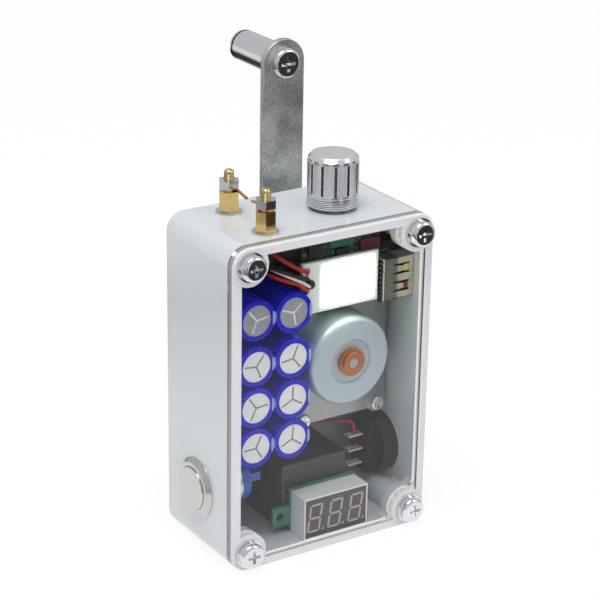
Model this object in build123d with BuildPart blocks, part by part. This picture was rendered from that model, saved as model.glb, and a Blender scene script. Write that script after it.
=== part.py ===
"""Hand crank generator in a clear-lidded project box.

Millimetres. The origin is at the middle of the box in plan, on the face that it stands on.
+X is to the right as the lid is seen, +Y goes back towards the crank and +Z is up.
"""
import os
from math import acos, asin, cos, degrees, pi, radians, sin, tan

from build123d import *

os.makedirs("parts", exist_ok=True)

# ---------------------------------------------------------------- driving sizes
# enclosure
BOX_WIDTH = 68.0
BOX_HEIGHT = 100.0
BOX_FRONT = -19.0
BOX_BACK = 19.0
LID_EDGE = 2.9
LID_PLATE = 2.0
WALL = 2.5
CORNER_RADIUS = 5.6
BACK_EDGE_RADIUS = 1.4
LID_EDGE_RADIUS = 0.8
SEAT_RADIUS = 6.0
SEAT_BLEND = 2.0
SEAT_DEPTH = 3.0
PILLAR_RADIUS = 4.4
PILLAR_BLEND = 0.6
GASKET_INSET = 0.65
GASKET_WIDTH = 1.2
GASKET_DEPTH = 1.2
PRY_SLOT_WIDTH = 2.2
PRY_SLOT_DEPTH = 0.9
PRY_SLOT_HEIGHT = 0.8
PRY_SLOT_INSET = 11.5

# fasteners: shank radius, head radius, head height
M4_SHANK = 1.95
M4_HEAD = 3.9
M4_HEAD_HEIGHT = 2.6
M25_SHANK = 1.2
M25_HEAD = 2.4
M25_HEAD_HEIGHT = 1.7
M3_SHANK = 1.45
M3_NUT_FLATS = 5.5
M3_NUT_HEIGHT = 2.4
LID_SCREW_REACH = 11.0
LID_WASHER_RADIUS = 4.4
LID_WASHER_THICKNESS = 0.8
GEARBOX_SCREW_REACH = 6.0

# clearances
SHAFT_CLEARANCE = 0.05
FIXED_CLEARANCE = 0.15
SLIDE_CLEARANCE = 0.1
SIDE_PLAY = 0.3

# spark gap on the top wall
POST_X = -18.0
POST_Y = (10.0, -10.0)
POST_FLATS = 5.5
POST_HEIGHT = 6.0
POST_STUD = 6.4
POST_WASHER_RADIUS = 3.9
POST_WASHER_THICKNESS = 0.5
POST_SCREW_REACH = 3.0
POST_SCREW_HEAD = 1.8
ELECTRODE_RADIUS = 0.45
ELECTRODE_TIPS = (0.3, -2.6)

# generator and crank
DRIVE_X = 9.5
DRIVE_Z = 56.0
CAN_RADIUS = 13.8
CAN_FRONT = -14.0
CAN_LENGTH = 11.0
CAN_WALL = 0.9
CAN_EDGE_RADIUS = 1.8
CAN_DISH_RADIUS = 7.0
CAN_DISH_DEPTH = 0.6
BUSHING_RADIUS = 4.3
BUSHING_STEP_RADIUS = 3.4
BUSHING_HEIGHT = 1.5
ROTOR_SHAFT_RADIUS = 1.5
ROTOR_TAIL_RADIUS = 1.0
MAGNET_THICKNESS = 1.6
ARMATURE_RADIUS = 10.0
ARMATURE_SLOTS = 7
COMMUTATOR_RADIUS = 3.2
BRUSH_PLATE_THICKNESS = 0.8

# gear train
GEAR_MODULE = 0.4
PRESSURE_ANGLE = radians(25)
BACKLASH = 0.09
WHEEL_TEETH = 42
PINION_TEETH = 12
ADDENDUM = 0.9
DEDENDUM = 1.25
CENTRE_EXTRA = 0.04
WHEEL_WIDTH = 3.4
PINION_WIDTH = 4.4
WHEEL_HUB_RADIUS = 3.0
WEB_THICKNESS = 1.6
LAYSHAFT_RADIUS = 1.0

# gearbox frame
PLATE_THICKNESS = 1.2
PLATE_SPACING = 13.8
PLATE_CENTRE_X = 13.1
SCREW_SPACING_X = 26.6
SCREW_SPACING_Z = 42.4
PLATE_EAR_RADIUS = 3.0
PLATE_WAIST = 1.6
PILLAR_TUBE_RADIUS = 2.4

# crank
CRANK_SHAFT_RADIUS = 2.5
CRANK_RADIUS = 81.0
ARM_WIDTH = 14.0
ARM_THICKNESS = 2.0
ARM_GAP = 5.7
WALL_BUSHING_RADIUS = 4.5
WALL_BUSHING_FLANGE = 6.5
WALL_BUSHING_FLANGE_THICKNESS = 1.2
CRANK_NUT_FLATS = 8.0
CRANK_NUT_HEIGHT = 3.2
CRANK_HUB_RADIUS = 4.0
HANDLE_RADIUS = 4.75
HANDLE_LENGTH = 21.0
HANDLE_GROOVE = 0.35
HANDLE_AXLE_RADIUS = 2.0
AXLE_HEAD_RADIUS = 4.5
AXLE_HEAD_HEIGHT = 2.4
AXLE_END_RADIUS = 3.2
AXLE_END_HEIGHT = 1.0
HANDLE_COLLAR_RADIUS = 4.1
HANDLE_COLLAR = 0.6

# capacitors: two columns of four
SLEEVE_RADIUS = 6.15
SLEEVE_THICKNESS = 0.2
SLEEVE_LIP = 1.3
CAPACITOR_LENGTH = 25.0
CAPACITOR_FRONT = -14.5
CAPACITOR_COLUMNS = (-23.4, -11.05)
CAPACITOR_ROWS = (36.2, 48.9, 61.7, 75.8)
VENT_WIDTH = 0.55
VENT_DEPTH = 0.3
VENT_ANGLES = ((62, 5, 53, 9), (84, 88, 68, 41))
CAPACITOR_BOARD_THICKNESS = 1.6
CAPACITOR_BOARD_MARGIN = 1.0
CAPACITOR_BOARD_HEADROOM = 3.6

# light, USB socket and their board
LED_FRONT = -13.0
LED_BOARD_LEFT = -7.3
LED_BOARD_RIGHT = 18.7
LED_BOARD_LOW = 73.6
LED_BOARD_HIGH = 89.0
BOARD_THICKNESS = 1.4
LED_FIELD_WIDTH = 17.6
LED_FIELD_HEIGHT = 12.4
LED_FIELD_THICKNESS = 0.7
LED_BOARD_RELIEF = 0.4
USB_FRONT = -13.0
USB_WIDTH = 13.1
USB_THICKNESS = 5.7
USB_LENGTH = 12.4
USB_SKIN = 0.35
USB_Z = 78.8
USB_TONGUE_THICKNESS = 1.8
USB_WINDOW_LENGTH = 4.2
USB_WINDOW_WIDTH = 2.5
USB_WINDOW_PITCH = 5.4
USB_BOARD_LEFT = -4.4
USB_BOARD_LOW = 71.0
USB_BOARD_HIGH = 88.4
PIN_SIZE = 0.8

# voltmeter
METER_FRONT = -16.3
METER_LEFT = -7.4
METER_WIDTH = 22.5
METER_HEIGHT = 13.4
METER_DEPTH = 7.4
METER_FACE_MARGIN = 0.9
METER_FACE_DEPTH = 0.6
METER_EAR_WIDTH = 6.0
METER_EAR_HEIGHT = 6.4
METER_EAR_HOLE = 1.3

# black potted step-up module
MODULE_LEFT = -9.6
MODULE_WIDTH = 23.0
MODULE_DEPTH = 21.0
MODULE_TOP = 23.6
MODULE_BACK = 14.0
MODULE_EDGE = 0.8

# round rocker switch in the right wall
SWITCH_Y = 1.0
SWITCH_Z = 19.8
SWITCH_RADIUS = 9.5
SWITCH_DEPTH = 7.6
SWITCH_ROUND_DEPTH = 5.0
SWITCH_BACK_WIDTH = 9.0
SWITCH_BACK_HEIGHT = 17.0
SWITCH_FLANGE_RADIUS = 11.5
SWITCH_FLANGE = 1.8
SWITCH_WINDOW_WIDTH = 8.6
SWITCH_WINDOW_HEIGHT = 14.0
SWITCH_WINDOW_DEPTH = 7.0
ROCKER_ANGLE = 9.0
ROCKER_PIVOT_RADIUS = 1.2
ROCKER_PROUD = 0.9
ROCKER_DISH = 1.2
TERMINAL_DROP = 0.9
TERMINAL_PITCH = 4.8
TERMINAL_LENGTH = 5.2
TERMINAL_WIDTH = 2.8
TERMINAL_THICKNESS = 0.6

# push button in the left wall
BUTTON_Y = 1.0
BUTTON_Z = 20.0
BUTTON_BARREL_RADIUS = 7.9
BUTTON_BARREL_LENGTH = 11.2
BUTTON_BEZEL_RADIUS = 9.1
BUTTON_BEZEL_HEIGHT = 1.7
BUTTON_BEZEL_TOP_RADIUS = 7.9
BUTTON_CAP_RADIUS = 6.6
BUTTON_CAP_PROUD = 0.4
BUTTON_CAP_LENGTH = 3.6
BUTTON_TRAVEL = 1.2
BUTTON_BORE_DEPTH = 9.0
BUTTON_STEM_RADIUS = 2.2
BUTTON_NUT_FLATS = 17.6
BUTTON_NUT_HEIGHT = 2.2
BUTTON_BASE_RADIUS = 7.2
BUTTON_BASE_THICKNESS = 3.2
BUTTON_FIN_LENGTH = 3.8
BUTTON_FIN_WIDTH = 12.0
BUTTON_FIN_THICKNESS = 2.6
BUTTON_FIN_RISE = 1.6
BUTTON_SPRING_RADIUS = 3.6
BUTTON_SPRING_WIRE = 0.4
BUTTON_SPRING_TURNS = 3

# knob and potentiometer in the top wall
KNOB_X = 10.0
KNOB_Y = -1.5
KNOB_RADIUS = 7.5
KNOB_HEIGHT = 16.2
KNOB_GAP = 0.8
KNOB_DOME_RADIUS = 38.0
KNOB_RECESS_RADIUS = 6.3
KNOB_GROOVES = 12
KNOB_GROOVE_WIDTH = 0.9
KNOB_GROOVE_DEPTH = 0.6
KNOB_GROOVE_START = 2.6
KNOB_RINGS = 5
KNOB_RING_PITCH = 0.55
KNOB_RING_DEPTH = 0.15
KNOB_BAND_HEIGHT = 3.6
KNOB_CAP_HEIGHT = 2.6
KNOB_BORE_DEPTH = 11.0
POT_RADIUS = 8.0
POT_DEPTH = 6.6
POT_THREAD_RADIUS = 3.4
POT_THREAD_HEIGHT = 5.2
POT_NUT_FLATS = 10.0
POT_NUT_HEIGHT = 2.0
POT_SHAFT_RADIUS = 3.0
POT_BORE_RADIUS = 2.6
POT_PIVOT_RADIUS = 2.5

# wires
WIRE_RADIUS = 0.6

# ---------------------------------------------------------------- worked-out places
BODY_FRONT = BOX_FRONT + LID_EDGE
INNER_FRONT = BOX_FRONT + LID_PLATE
WALL_BACK = BOX_BACK - WALL
WALL_SIDE = BOX_WIDTH / 2 - WALL
WALL_TOP = BOX_HEIGHT - WALL
LID_SCREWS = [(side * (BOX_WIDTH / 2 - CORNER_RADIUS), z) for side in (-1, 1)
              for z in (CORNER_RADIUS, BOX_HEIGHT - CORNER_RADIUS)]
CAN_BACK = CAN_FRONT + CAN_LENGTH
PLATE_BACK = CAN_BACK + PLATE_THICKNESS
REAR_PLATE_FRONT = PLATE_BACK + PLATE_SPACING
REAR_PLATE_BACK = REAR_PLATE_FRONT + PLATE_THICKNESS
CENTRE_DISTANCE = GEAR_MODULE * (WHEEL_TEETH + PINION_TEETH) / 2 + CENTRE_EXTRA
LAYSHAFT_Z = DRIVE_Z + CENTRE_DISTANCE
ROTOR_WHEEL_FRONT = PLATE_BACK + 1.0
OUTPUT_WHEEL_BACK = REAR_PLATE_FRONT - 1.0
PLATE_SCREWS = [(PLATE_CENTRE_X + sx * SCREW_SPACING_X / 2, DRIVE_Z + sz * SCREW_SPACING_Z / 2)
                for sx in (-1, 1) for sz in (-1, 1)]
ARM_FRONT = BOX_BACK + ARM_GAP
ARM_BACK = ARM_FRONT + ARM_THICKNESS
HANDLE_Z = DRIVE_Z + CRANK_RADIUS
HANDLE_FRONT = ARM_BACK + HANDLE_COLLAR
CAPACITOR_BACK = CAPACITOR_FRONT + CAPACITOR_LENGTH
USB_BACK = USB_FRONT + USB_THICKNESS
METER_BACK = METER_FRONT + METER_DEPTH
MODULE_FRONT = MODULE_BACK - MODULE_DEPTH
BUTTON_OUTER = -BOX_WIDTH / 2
BUTTON_BACK = BUTTON_OUTER + BUTTON_BARREL_LENGTH
SWITCH_INNER = BOX_WIDTH / 2 - WALL - SWITCH_DEPTH
TERMINAL_ROWS = [SWITCH_Z - TERMINAL_DROP + step * TERMINAL_PITCH for step in (-1, 0, 1)]
KNOB_LOW = BOX_HEIGHT + KNOB_GAP
POST_LOW = BOX_HEIGHT + POST_WASHER_THICKNESS
ELECTRODE_Z = POST_LOW + POST_HEIGHT + ELECTRODE_RADIUS


# ---------------------------------------------------------------- planes and small features
def facing_front(y, x=0.0, z=0.0):
    """Plane across the box at depth y, seen from the lid; extruding goes forwards."""
    return Plane(origin=(x, y, z), x_dir=(1, 0, 0), z_dir=(0, -1, 0))


def facing_back(y, x=0.0, z=0.0):
    """Plane across the box at depth y; extruding goes backwards."""
    return Plane(origin=(x, y, z), x_dir=(-1, 0, 0), z_dir=(0, 1, 0))


def facing_left(x, y, z):
    return Plane(origin=(x, y, z), x_dir=(0, -1, 0), z_dir=(-1, 0, 0))


def facing_right(x, y, z):
    return Plane(origin=(x, y, z), x_dir=(0, 1, 0), z_dir=(1, 0, 0))


def facing_up(z, x=0.0, y=0.0):
    return Plane(origin=(x, y, z), x_dir=(1, 0, 0), z_dir=(0, 0, 1))


def disc(plane, radius, length, bore=0.0, mode=Mode.ADD):
    """A round or ring-shaped slab in the part being built."""
    with BuildSketch(plane) as outline:
        Circle(radius)
        if bore:
            Circle(bore, mode=Mode.SUBTRACT)
    extrude(outline.sketch, amount=length, mode=mode)


def slab(plane, width, height, length, mode=Mode.ADD):
    """A rectangular slab centred on its plane in the part being built."""
    with BuildSketch(plane) as outline:
        Rectangle(width, height)
    extrude(outline.sketch, amount=length, mode=mode)


def hexagon(plane, flats, length, bore=0.0):
    """A nut or a hexagonal bar in the part being built."""
    with BuildSketch(plane) as outline:
        RegularPolygon(radius=flats / 2, side_count=6, major_radius=False)
        if bore:
            Circle(bore, mode=Mode.SUBTRACT)
    extrude(outline.sketch, amount=length)


def pan_screw(plane, shank, head, head_height, reach):
    """A pan head screw with a cross recess; the plane is the seat, its normal the head side."""
    disc(plane, head, head_height)
    top = faces().filter_by(lambda face: face.geom_type == GeomType.PLANE).sort_by(
        lambda face: (face.center() - plane.origin).dot(plane.z_dir))[-1]
    fillet(top.edges(), head_height * 0.42)
    disc(plane, shank, -reach)
    recess = plane.offset(head_height)
    slab(recess, head * 1.05, head * 0.24, -head_height * 0.55, mode=Mode.SUBTRACT)
    slab(recess, head * 0.24, head * 1.05, -head_height * 0.55, mode=Mode.SUBTRACT)


def export(part, name):
    part.label = name
    export_step(part, f"parts/{name}.step")


# ---------------------------------------------------------------- enclosure
def box_outline(y):
    with BuildSketch(facing_front(y, z=BOX_HEIGHT / 2)) as outline:
        RectangleRounded(BOX_WIDTH, BOX_HEIGHT, CORNER_RADIUS)
    return outline.sketch


def cavity_outline(y, grow=0.0, pillar=SEAT_RADIUS, blend=SEAT_BLEND):
    """Inside of the walls, running round the four screw pillars."""
    with BuildSketch(facing_front(y, z=BOX_HEIGHT / 2)) as outline:
        Rectangle(BOX_WIDTH - 2 * WALL, BOX_HEIGHT - 2 * WALL)
        places = [(x, z - BOX_HEIGHT / 2) for x, z in LID_SCREWS]
        with Locations(*places):
            Circle(pillar, mode=Mode.SUBTRACT)
        for x, z in places:
            with Locations((x * 1.5, z * 1.5)):
                Rectangle(abs(x), abs(z), mode=Mode.SUBTRACT)
        fillet(outline.vertices(), blend)
        if grow:
            offset(amount=grow)
    return outline.sketch


def enclosure_body():
    with BuildPart() as body:
        extrude(box_outline(BOX_BACK), amount=BOX_BACK - BODY_FRONT)
        fillet(body.faces().sort_by(Axis.Y)[-1].edges(), BACK_EDGE_RADIUS)
        seat_back = BODY_FRONT + SEAT_DEPTH
        extrude(cavity_outline(seat_back), amount=SEAT_DEPTH, mode=Mode.SUBTRACT)
        extrude(cavity_outline(WALL_BACK, pillar=PILLAR_RADIUS, blend=PILLAR_BLEND),
                amount=WALL_BACK - seat_back, mode=Mode.SUBTRACT)
        groove = cavity_outline(BODY_FRONT + GASKET_DEPTH, GASKET_INSET + GASKET_WIDTH)
        land = cavity_outline(BODY_FRONT + GASKET_DEPTH, GASKET_INSET)
        extrude(groove - land, amount=GASKET_DEPTH, mode=Mode.SUBTRACT)
        for x, z in LID_SCREWS:
            disc(facing_back(BODY_FRONT, x, z), M4_SHANK, LID_SCREW_REACH, mode=Mode.SUBTRACT)
        disc(facing_right(-BOX_WIDTH / 2, BUTTON_Y, BUTTON_Z), BUTTON_BARREL_RADIUS + FIXED_CLEARANCE,
             WALL, mode=Mode.SUBTRACT)
        disc(facing_left(BOX_WIDTH / 2, SWITCH_Y, SWITCH_Z), SWITCH_RADIUS + FIXED_CLEARANCE,
             WALL, mode=Mode.SUBTRACT)
        slab(facing_left(BOX_WIDTH / 2, (USB_FRONT + USB_BACK) / 2, USB_Z),
             USB_THICKNESS + 2 * FIXED_CLEARANCE, USB_WIDTH + 2 * FIXED_CLEARANCE, WALL, mode=Mode.SUBTRACT)
        disc(facing_up(WALL_TOP, KNOB_X, KNOB_Y), POT_THREAD_RADIUS + FIXED_CLEARANCE, WALL,
             mode=Mode.SUBTRACT)
        for y in POST_Y:
            disc(facing_up(WALL_TOP, POST_X, y), M3_SHANK + FIXED_CLEARANCE, WALL, mode=Mode.SUBTRACT)
        disc(facing_back(WALL_BACK, DRIVE_X, DRIVE_Z), WALL_BUSHING_RADIUS, WALL, mode=Mode.SUBTRACT)
        for x, z in PLATE_SCREWS:
            disc(facing_back(WALL_BACK, x, z), M25_SHANK + FIXED_CLEARANCE, WALL, mode=Mode.SUBTRACT)
    export(body.part, "enclosure_body")


def clear_lid():
    with BuildPart() as lid:
        extrude(box_outline(BODY_FRONT), amount=LID_EDGE)
        fillet(lid.faces().sort_by(Axis.Y)[0].edges(), LID_EDGE_RADIUS)
        extrude(cavity_outline(BODY_FRONT), amount=LID_EDGE - LID_PLATE, mode=Mode.SUBTRACT)
        for x, z in LID_SCREWS:
            disc(facing_front(BODY_FRONT, x, z), M4_SHANK + FIXED_CLEARANCE, LID_EDGE, mode=Mode.SUBTRACT)
        for side in (-1, 1):
            for z in (PRY_SLOT_INSET, BOX_HEIGHT - PRY_SLOT_INSET):
                slab(facing_front(BODY_FRONT, side * BOX_WIDTH / 2, z), 2 * PRY_SLOT_HEIGHT,
                     PRY_SLOT_WIDTH, PRY_SLOT_DEPTH, mode=Mode.SUBTRACT)
    export(lid.part, "clear_lid")


def lid_gasket():
    with BuildPart() as gasket:
        base = BODY_FRONT + GASKET_DEPTH
        ring = cavity_outline(base, GASKET_INSET + GASKET_WIDTH) - cavity_outline(base, GASKET_INSET)
        extrude(ring, amount=GASKET_DEPTH)
    export(gasket.part, "lid_gasket")


def lid_fasteners():
    with BuildPart() as washers:
        for x, z in LID_SCREWS:
            disc(facing_front(BOX_FRONT, x, z), LID_WASHER_RADIUS, LID_WASHER_THICKNESS,
                 bore=M4_SHANK + FIXED_CLEARANCE)
    export(washers.part, "lid_washers")
    screws = []
    for x, z in LID_SCREWS:
        with BuildPart() as screw:
            pan_screw(facing_front(BOX_FRONT - LID_WASHER_THICKNESS, x, z), M4_SHANK, M4_HEAD,
                      M4_HEAD_HEIGHT, LID_WASHER_THICKNESS + LID_EDGE + LID_SCREW_REACH - 1.0)
        screws.append(screw.part)
    export(Compound(screws), "lid_screws")


# ---------------------------------------------------------------- spark gap
def spark_gap():
    nut_low = ELECTRODE_Z + ELECTRODE_RADIUS
    with BuildPart() as posts:
        for y in POST_Y:
            hexagon(facing_up(POST_LOW, POST_X, y), POST_FLATS, POST_HEIGHT)
            disc(facing_up(POST_LOW, POST_X, y), M3_SHANK, POST_SCREW_REACH, mode=Mode.SUBTRACT)
            disc(facing_up(POST_LOW + POST_HEIGHT, POST_X, y), M3_SHANK, POST_STUD)
        ends = posts.faces().filter_by(Plane.XY).group_by(Axis.Z)[-1]
        fillet(ends.edges(), M3_SHANK * 0.7)
    export(posts.part, "spark_posts")
    with BuildPart() as washers:
        for y in POST_Y:
            disc(facing_up(BOX_HEIGHT, POST_X, y), POST_WASHER_RADIUS, POST_WASHER_THICKNESS,
                 bore=M3_SHANK + FIXED_CLEARANCE)
    export(washers.part, "spark_washers")
    with BuildPart() as nuts:
        for y in POST_Y:
            hexagon(facing_up(nut_low, POST_X, y), M3_NUT_FLATS, M3_NUT_HEIGHT, bore=M3_SHANK)
    export(nuts.part, "spark_nuts")
    screws = []
    for y in POST_Y:
        with BuildPart() as screw:
            seat = Plane(origin=(POST_X, y, WALL_TOP), x_dir=(1, 0, 0), z_dir=(0, 0, -1))
            pan_screw(seat, M3_SHANK, M3_NUT_FLATS / 2, POST_SCREW_HEAD,
                      WALL + POST_WASHER_THICKNESS + POST_SCREW_REACH)
        screws.append(screw.part)
    export(Compound(screws), "spark_post_screws")


def spark_electrodes():
    """A copper wire loop under each nut, its free end pointing at the other post."""
    loop = M3_SHANK + ELECTRODE_RADIUS + 0.05
    with BuildPart() as wires:
        for y, ahead, tip in zip(POST_Y, (-1, 1), ELECTRODE_TIPS):
            with BuildLine(facing_up(ELECTRODE_Z, POST_X, y)) as route:
                ring = CenterArc((0, 0), loop, 90 * ahead, 280)
                Line(ring @ 1, (ring @ 1) + (ring % 1) * 0.9)
            end = route.line @ 1
            with BuildLine(facing_up(ELECTRODE_Z, POST_X, y)) as straight:
                Line((loop * 0.98, 0.0), (0.0, tip - y))
            for path in (route.line, straight.line):
                with BuildSketch(Plane(origin=path @ 0, z_dir=path % 0)):
                    Circle(ELECTRODE_RADIUS)
                sweep(path=path)
    export(wires.part, "spark_electrodes")


# ---------------------------------------------------------------- capacitors
def capacitors():
    cans = []
    sleeves = []
    inner = SLEEVE_RADIUS - SLEEVE_THICKNESS
    for x, angles in zip(CAPACITOR_COLUMNS, VENT_ANGLES):
        for first_spoke, z in zip(angles, CAPACITOR_ROWS):
            face = facing_front(CAPACITOR_FRONT, x, z)
            with BuildPart() as can:
                disc(face, inner, -CAPACITOR_LENGTH)
                fillet(can.edges().sort_by(Axis.Y)[0], 0.8)
                for spoke in range(3):
                    angle = first_spoke + 120 * spoke
                    with BuildSketch(face):
                        with Locations((inner * 0.32 * cos(radians(angle)), inner * 0.32 * sin(radians(angle)))):
                            Rectangle(inner * 0.68, VENT_WIDTH, rotation=angle)
                    extrude(amount=-VENT_DEPTH, mode=Mode.SUBTRACT)
            cans.append(can.part)
            with BuildPart() as sleeve:
                disc(face, SLEEVE_RADIUS, -(CAPACITOR_LENGTH - 1.0), bore=inner)
                disc(face, SLEEVE_RADIUS, SLEEVE_THICKNESS, bore=inner - SLEEVE_LIP)
                fillet(sleeve.edges().filter_by(GeomType.CIRCLE).group_by(Axis.Y)[0].sort_by(
                    SortBy.RADIUS)[-1], SLEEVE_THICKNESS * 0.9)
            sleeves.append(sleeve.part)
    export(Compound(cans), "capacitor_cans")
    export(Compound(sleeves), "capacitor_sleeves")
    left = min(CAPACITOR_COLUMNS) - SLEEVE_RADIUS
    right = max(CAPACITOR_COLUMNS) + SLEEVE_RADIUS
    low = min(CAPACITOR_ROWS) - SLEEVE_RADIUS - CAPACITOR_BOARD_MARGIN
    high = max(CAPACITOR_ROWS) + SLEEVE_RADIUS + CAPACITOR_BOARD_HEADROOM
    with BuildPart() as board:
        slab(facing_back(CAPACITOR_BACK, (left + right) / 2, (low + high) / 2), right - left, high - low,
             CAPACITOR_BOARD_THICKNESS)
        for z in (low + 4, high - 4):
            disc(facing_back(CAPACITOR_BACK + CAPACITOR_BOARD_THICKNESS, (left + right) / 2, z), 2.2,
                 WALL_BACK - CAPACITOR_BACK - CAPACITOR_BOARD_THICKNESS)
    export(board.part, "capacitor_board")


# ---------------------------------------------------------------- light and USB
def led_panel():
    middle_x = (LED_BOARD_LEFT + LED_BOARD_RIGHT) / 2
    middle_z = (LED_BOARD_LOW + LED_BOARD_HIGH) / 2
    with BuildPart() as board:
        slab(facing_back(LED_FRONT, middle_x, middle_z), LED_BOARD_RIGHT - LED_BOARD_LEFT,
             LED_BOARD_HIGH - LED_BOARD_LOW, BOARD_THICKNESS)
        disc(facing_back(LED_FRONT, max(CAPACITOR_COLUMNS), max(CAPACITOR_ROWS)),
             SLEEVE_RADIUS + LED_BOARD_RELIEF, BOARD_THICKNESS, mode=Mode.SUBTRACT)
        pins_start = LED_FRONT + BOARD_THICKNESS
        for x in (LED_BOARD_LEFT + 5.0, LED_BOARD_RIGHT - 2.0):
            for z in (LED_BOARD_HIGH - 1.6, LED_BOARD_HIGH - 4.2):
                slab(facing_back(pins_start, x, z), PIN_SIZE, PIN_SIZE, USB_BACK - pins_start)
    export(board.part, "led_board")
    with BuildPart() as field:
        with BuildSketch(facing_front(LED_FRONT, LED_BOARD_RIGHT - 1.6 - LED_FIELD_WIDTH / 2, middle_z)):
            RectangleRounded(LED_FIELD_WIDTH, LED_FIELD_HEIGHT, 0.8)
        extrude(amount=LED_FIELD_THICKNESS)
        chamfer(field.faces().sort_by(Axis.Y)[0].edges(), 0.2)
    export(field.part, "led_array")


def usb_socket():
    mid_y = (USB_FRONT + USB_BACK) / 2
    mouth = BOX_WIDTH / 2 - 0.4
    plug_side = facing_left(mouth, mid_y, USB_Z)
    with BuildPart() as shell:
        with BuildSketch(plug_side):
            RectangleRounded(USB_THICKNESS, USB_WIDTH, 0.6)
        extrude(amount=USB_LENGTH)
        slab(plug_side, USB_THICKNESS - 2 * USB_SKIN, USB_WIDTH - 2 * USB_SKIN, USB_LENGTH - USB_SKIN,
             mode=Mode.SUBTRACT)
        window_x = mouth - 1.7 - USB_WINDOW_LENGTH / 2
        for side in (-1, 1):
            z = USB_Z + side * USB_WINDOW_PITCH / 2
            slab(facing_front(USB_BACK, window_x, z), USB_WINDOW_LENGTH, USB_WINDOW_WIDTH, USB_THICKNESS,
                 mode=Mode.SUBTRACT)
    export(shell.part, "usb_shell")
    with BuildPart() as tongue:
        inner_end = mouth - USB_LENGTH + USB_SKIN
        slab(facing_right(inner_end, mid_y, USB_Z), USB_THICKNESS - 2 * USB_SKIN, USB_WIDTH - 2 * USB_SKIN, 2.2)
        slab(facing_right(inner_end + 2.2, mid_y + 0.9, USB_Z), USB_TONGUE_THICKNESS, USB_WIDTH - 3.0,
             USB_LENGTH - USB_SKIN - 2.2 - 1.5)
    export(tongue.part, "usb_tongue")
    right = WALL_SIDE - SIDE_PLAY
    with BuildPart() as board:
        slab(facing_back(USB_BACK, (USB_BOARD_LEFT + right) / 2, (USB_BOARD_LOW + USB_BOARD_HIGH) / 2),
             right - USB_BOARD_LEFT, USB_BOARD_HIGH - USB_BOARD_LOW, BOARD_THICKNESS)
        comb = mouth - USB_LENGTH - 0.2
        slab(facing_front(USB_BACK, comb - 0.6, USB_Z), 1.2, USB_WIDTH - 0.6, 3.4)
        for step in range(8):
            z = USB_Z - USB_WIDTH / 2 + 1.2 + step * 1.5
            slab(facing_front(USB_BACK, comb - 1.1, z), 0.5, 0.6, 3.4, mode=Mode.SUBTRACT)
    export(board.part, "usb_board")


# ---------------------------------------------------------------- voltmeter
def voltmeter():
    middle_x = METER_LEFT + METER_WIDTH / 2
    middle_z = WALL + METER_HEIGHT / 2
    with BuildPart() as housing:
        slab(facing_front(METER_BACK, middle_x, middle_z), METER_WIDTH, METER_HEIGHT, METER_DEPTH)
        slab(facing_back(METER_FRONT, middle_x, middle_z), METER_WIDTH - METER_FACE_MARGIN,
             METER_HEIGHT - METER_FACE_MARGIN, METER_FACE_DEPTH, mode=Mode.SUBTRACT)
    export(housing.part, "voltmeter_housing")
    with BuildPart() as face:
        slab(facing_back(METER_FRONT, middle_x, middle_z), METER_WIDTH - METER_FACE_MARGIN,
             METER_HEIGHT - METER_FACE_MARGIN, METER_FACE_DEPTH)
    export(face.part, "voltmeter_face")
    with BuildPart() as board:
        slab(facing_back(METER_BACK, middle_x, middle_z + 0.3), METER_WIDTH + 0.6, METER_HEIGHT + 0.6, 1.2)
        ear_x = METER_LEFT - 0.3 - METER_EAR_WIDTH / 2
        ear_z = WALL + METER_EAR_HEIGHT / 2 + 2.4
        slab(facing_back(METER_BACK, ear_x, ear_z), METER_EAR_WIDTH, METER_EAR_HEIGHT, 1.2)
        disc(facing_back(METER_BACK, ear_x - 0.5, ear_z), METER_EAR_HOLE, 1.2, mode=Mode.SUBTRACT)
    export(board.part, "voltmeter_board")


def boost_module():
    with BuildPart() as module:
        slab(facing_up(WALL, MODULE_LEFT + MODULE_WIDTH / 2, MODULE_BACK - MODULE_DEPTH / 2),
             MODULE_WIDTH, MODULE_DEPTH, MODULE_TOP - WALL)
        fillet(module.edges().filter_by(Axis.Z), MODULE_EDGE)
        fillet(module.faces().sort_by(Axis.Z)[-1].edges(), MODULE_EDGE * 0.6)
    export(module.part, "boost_module")


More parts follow.
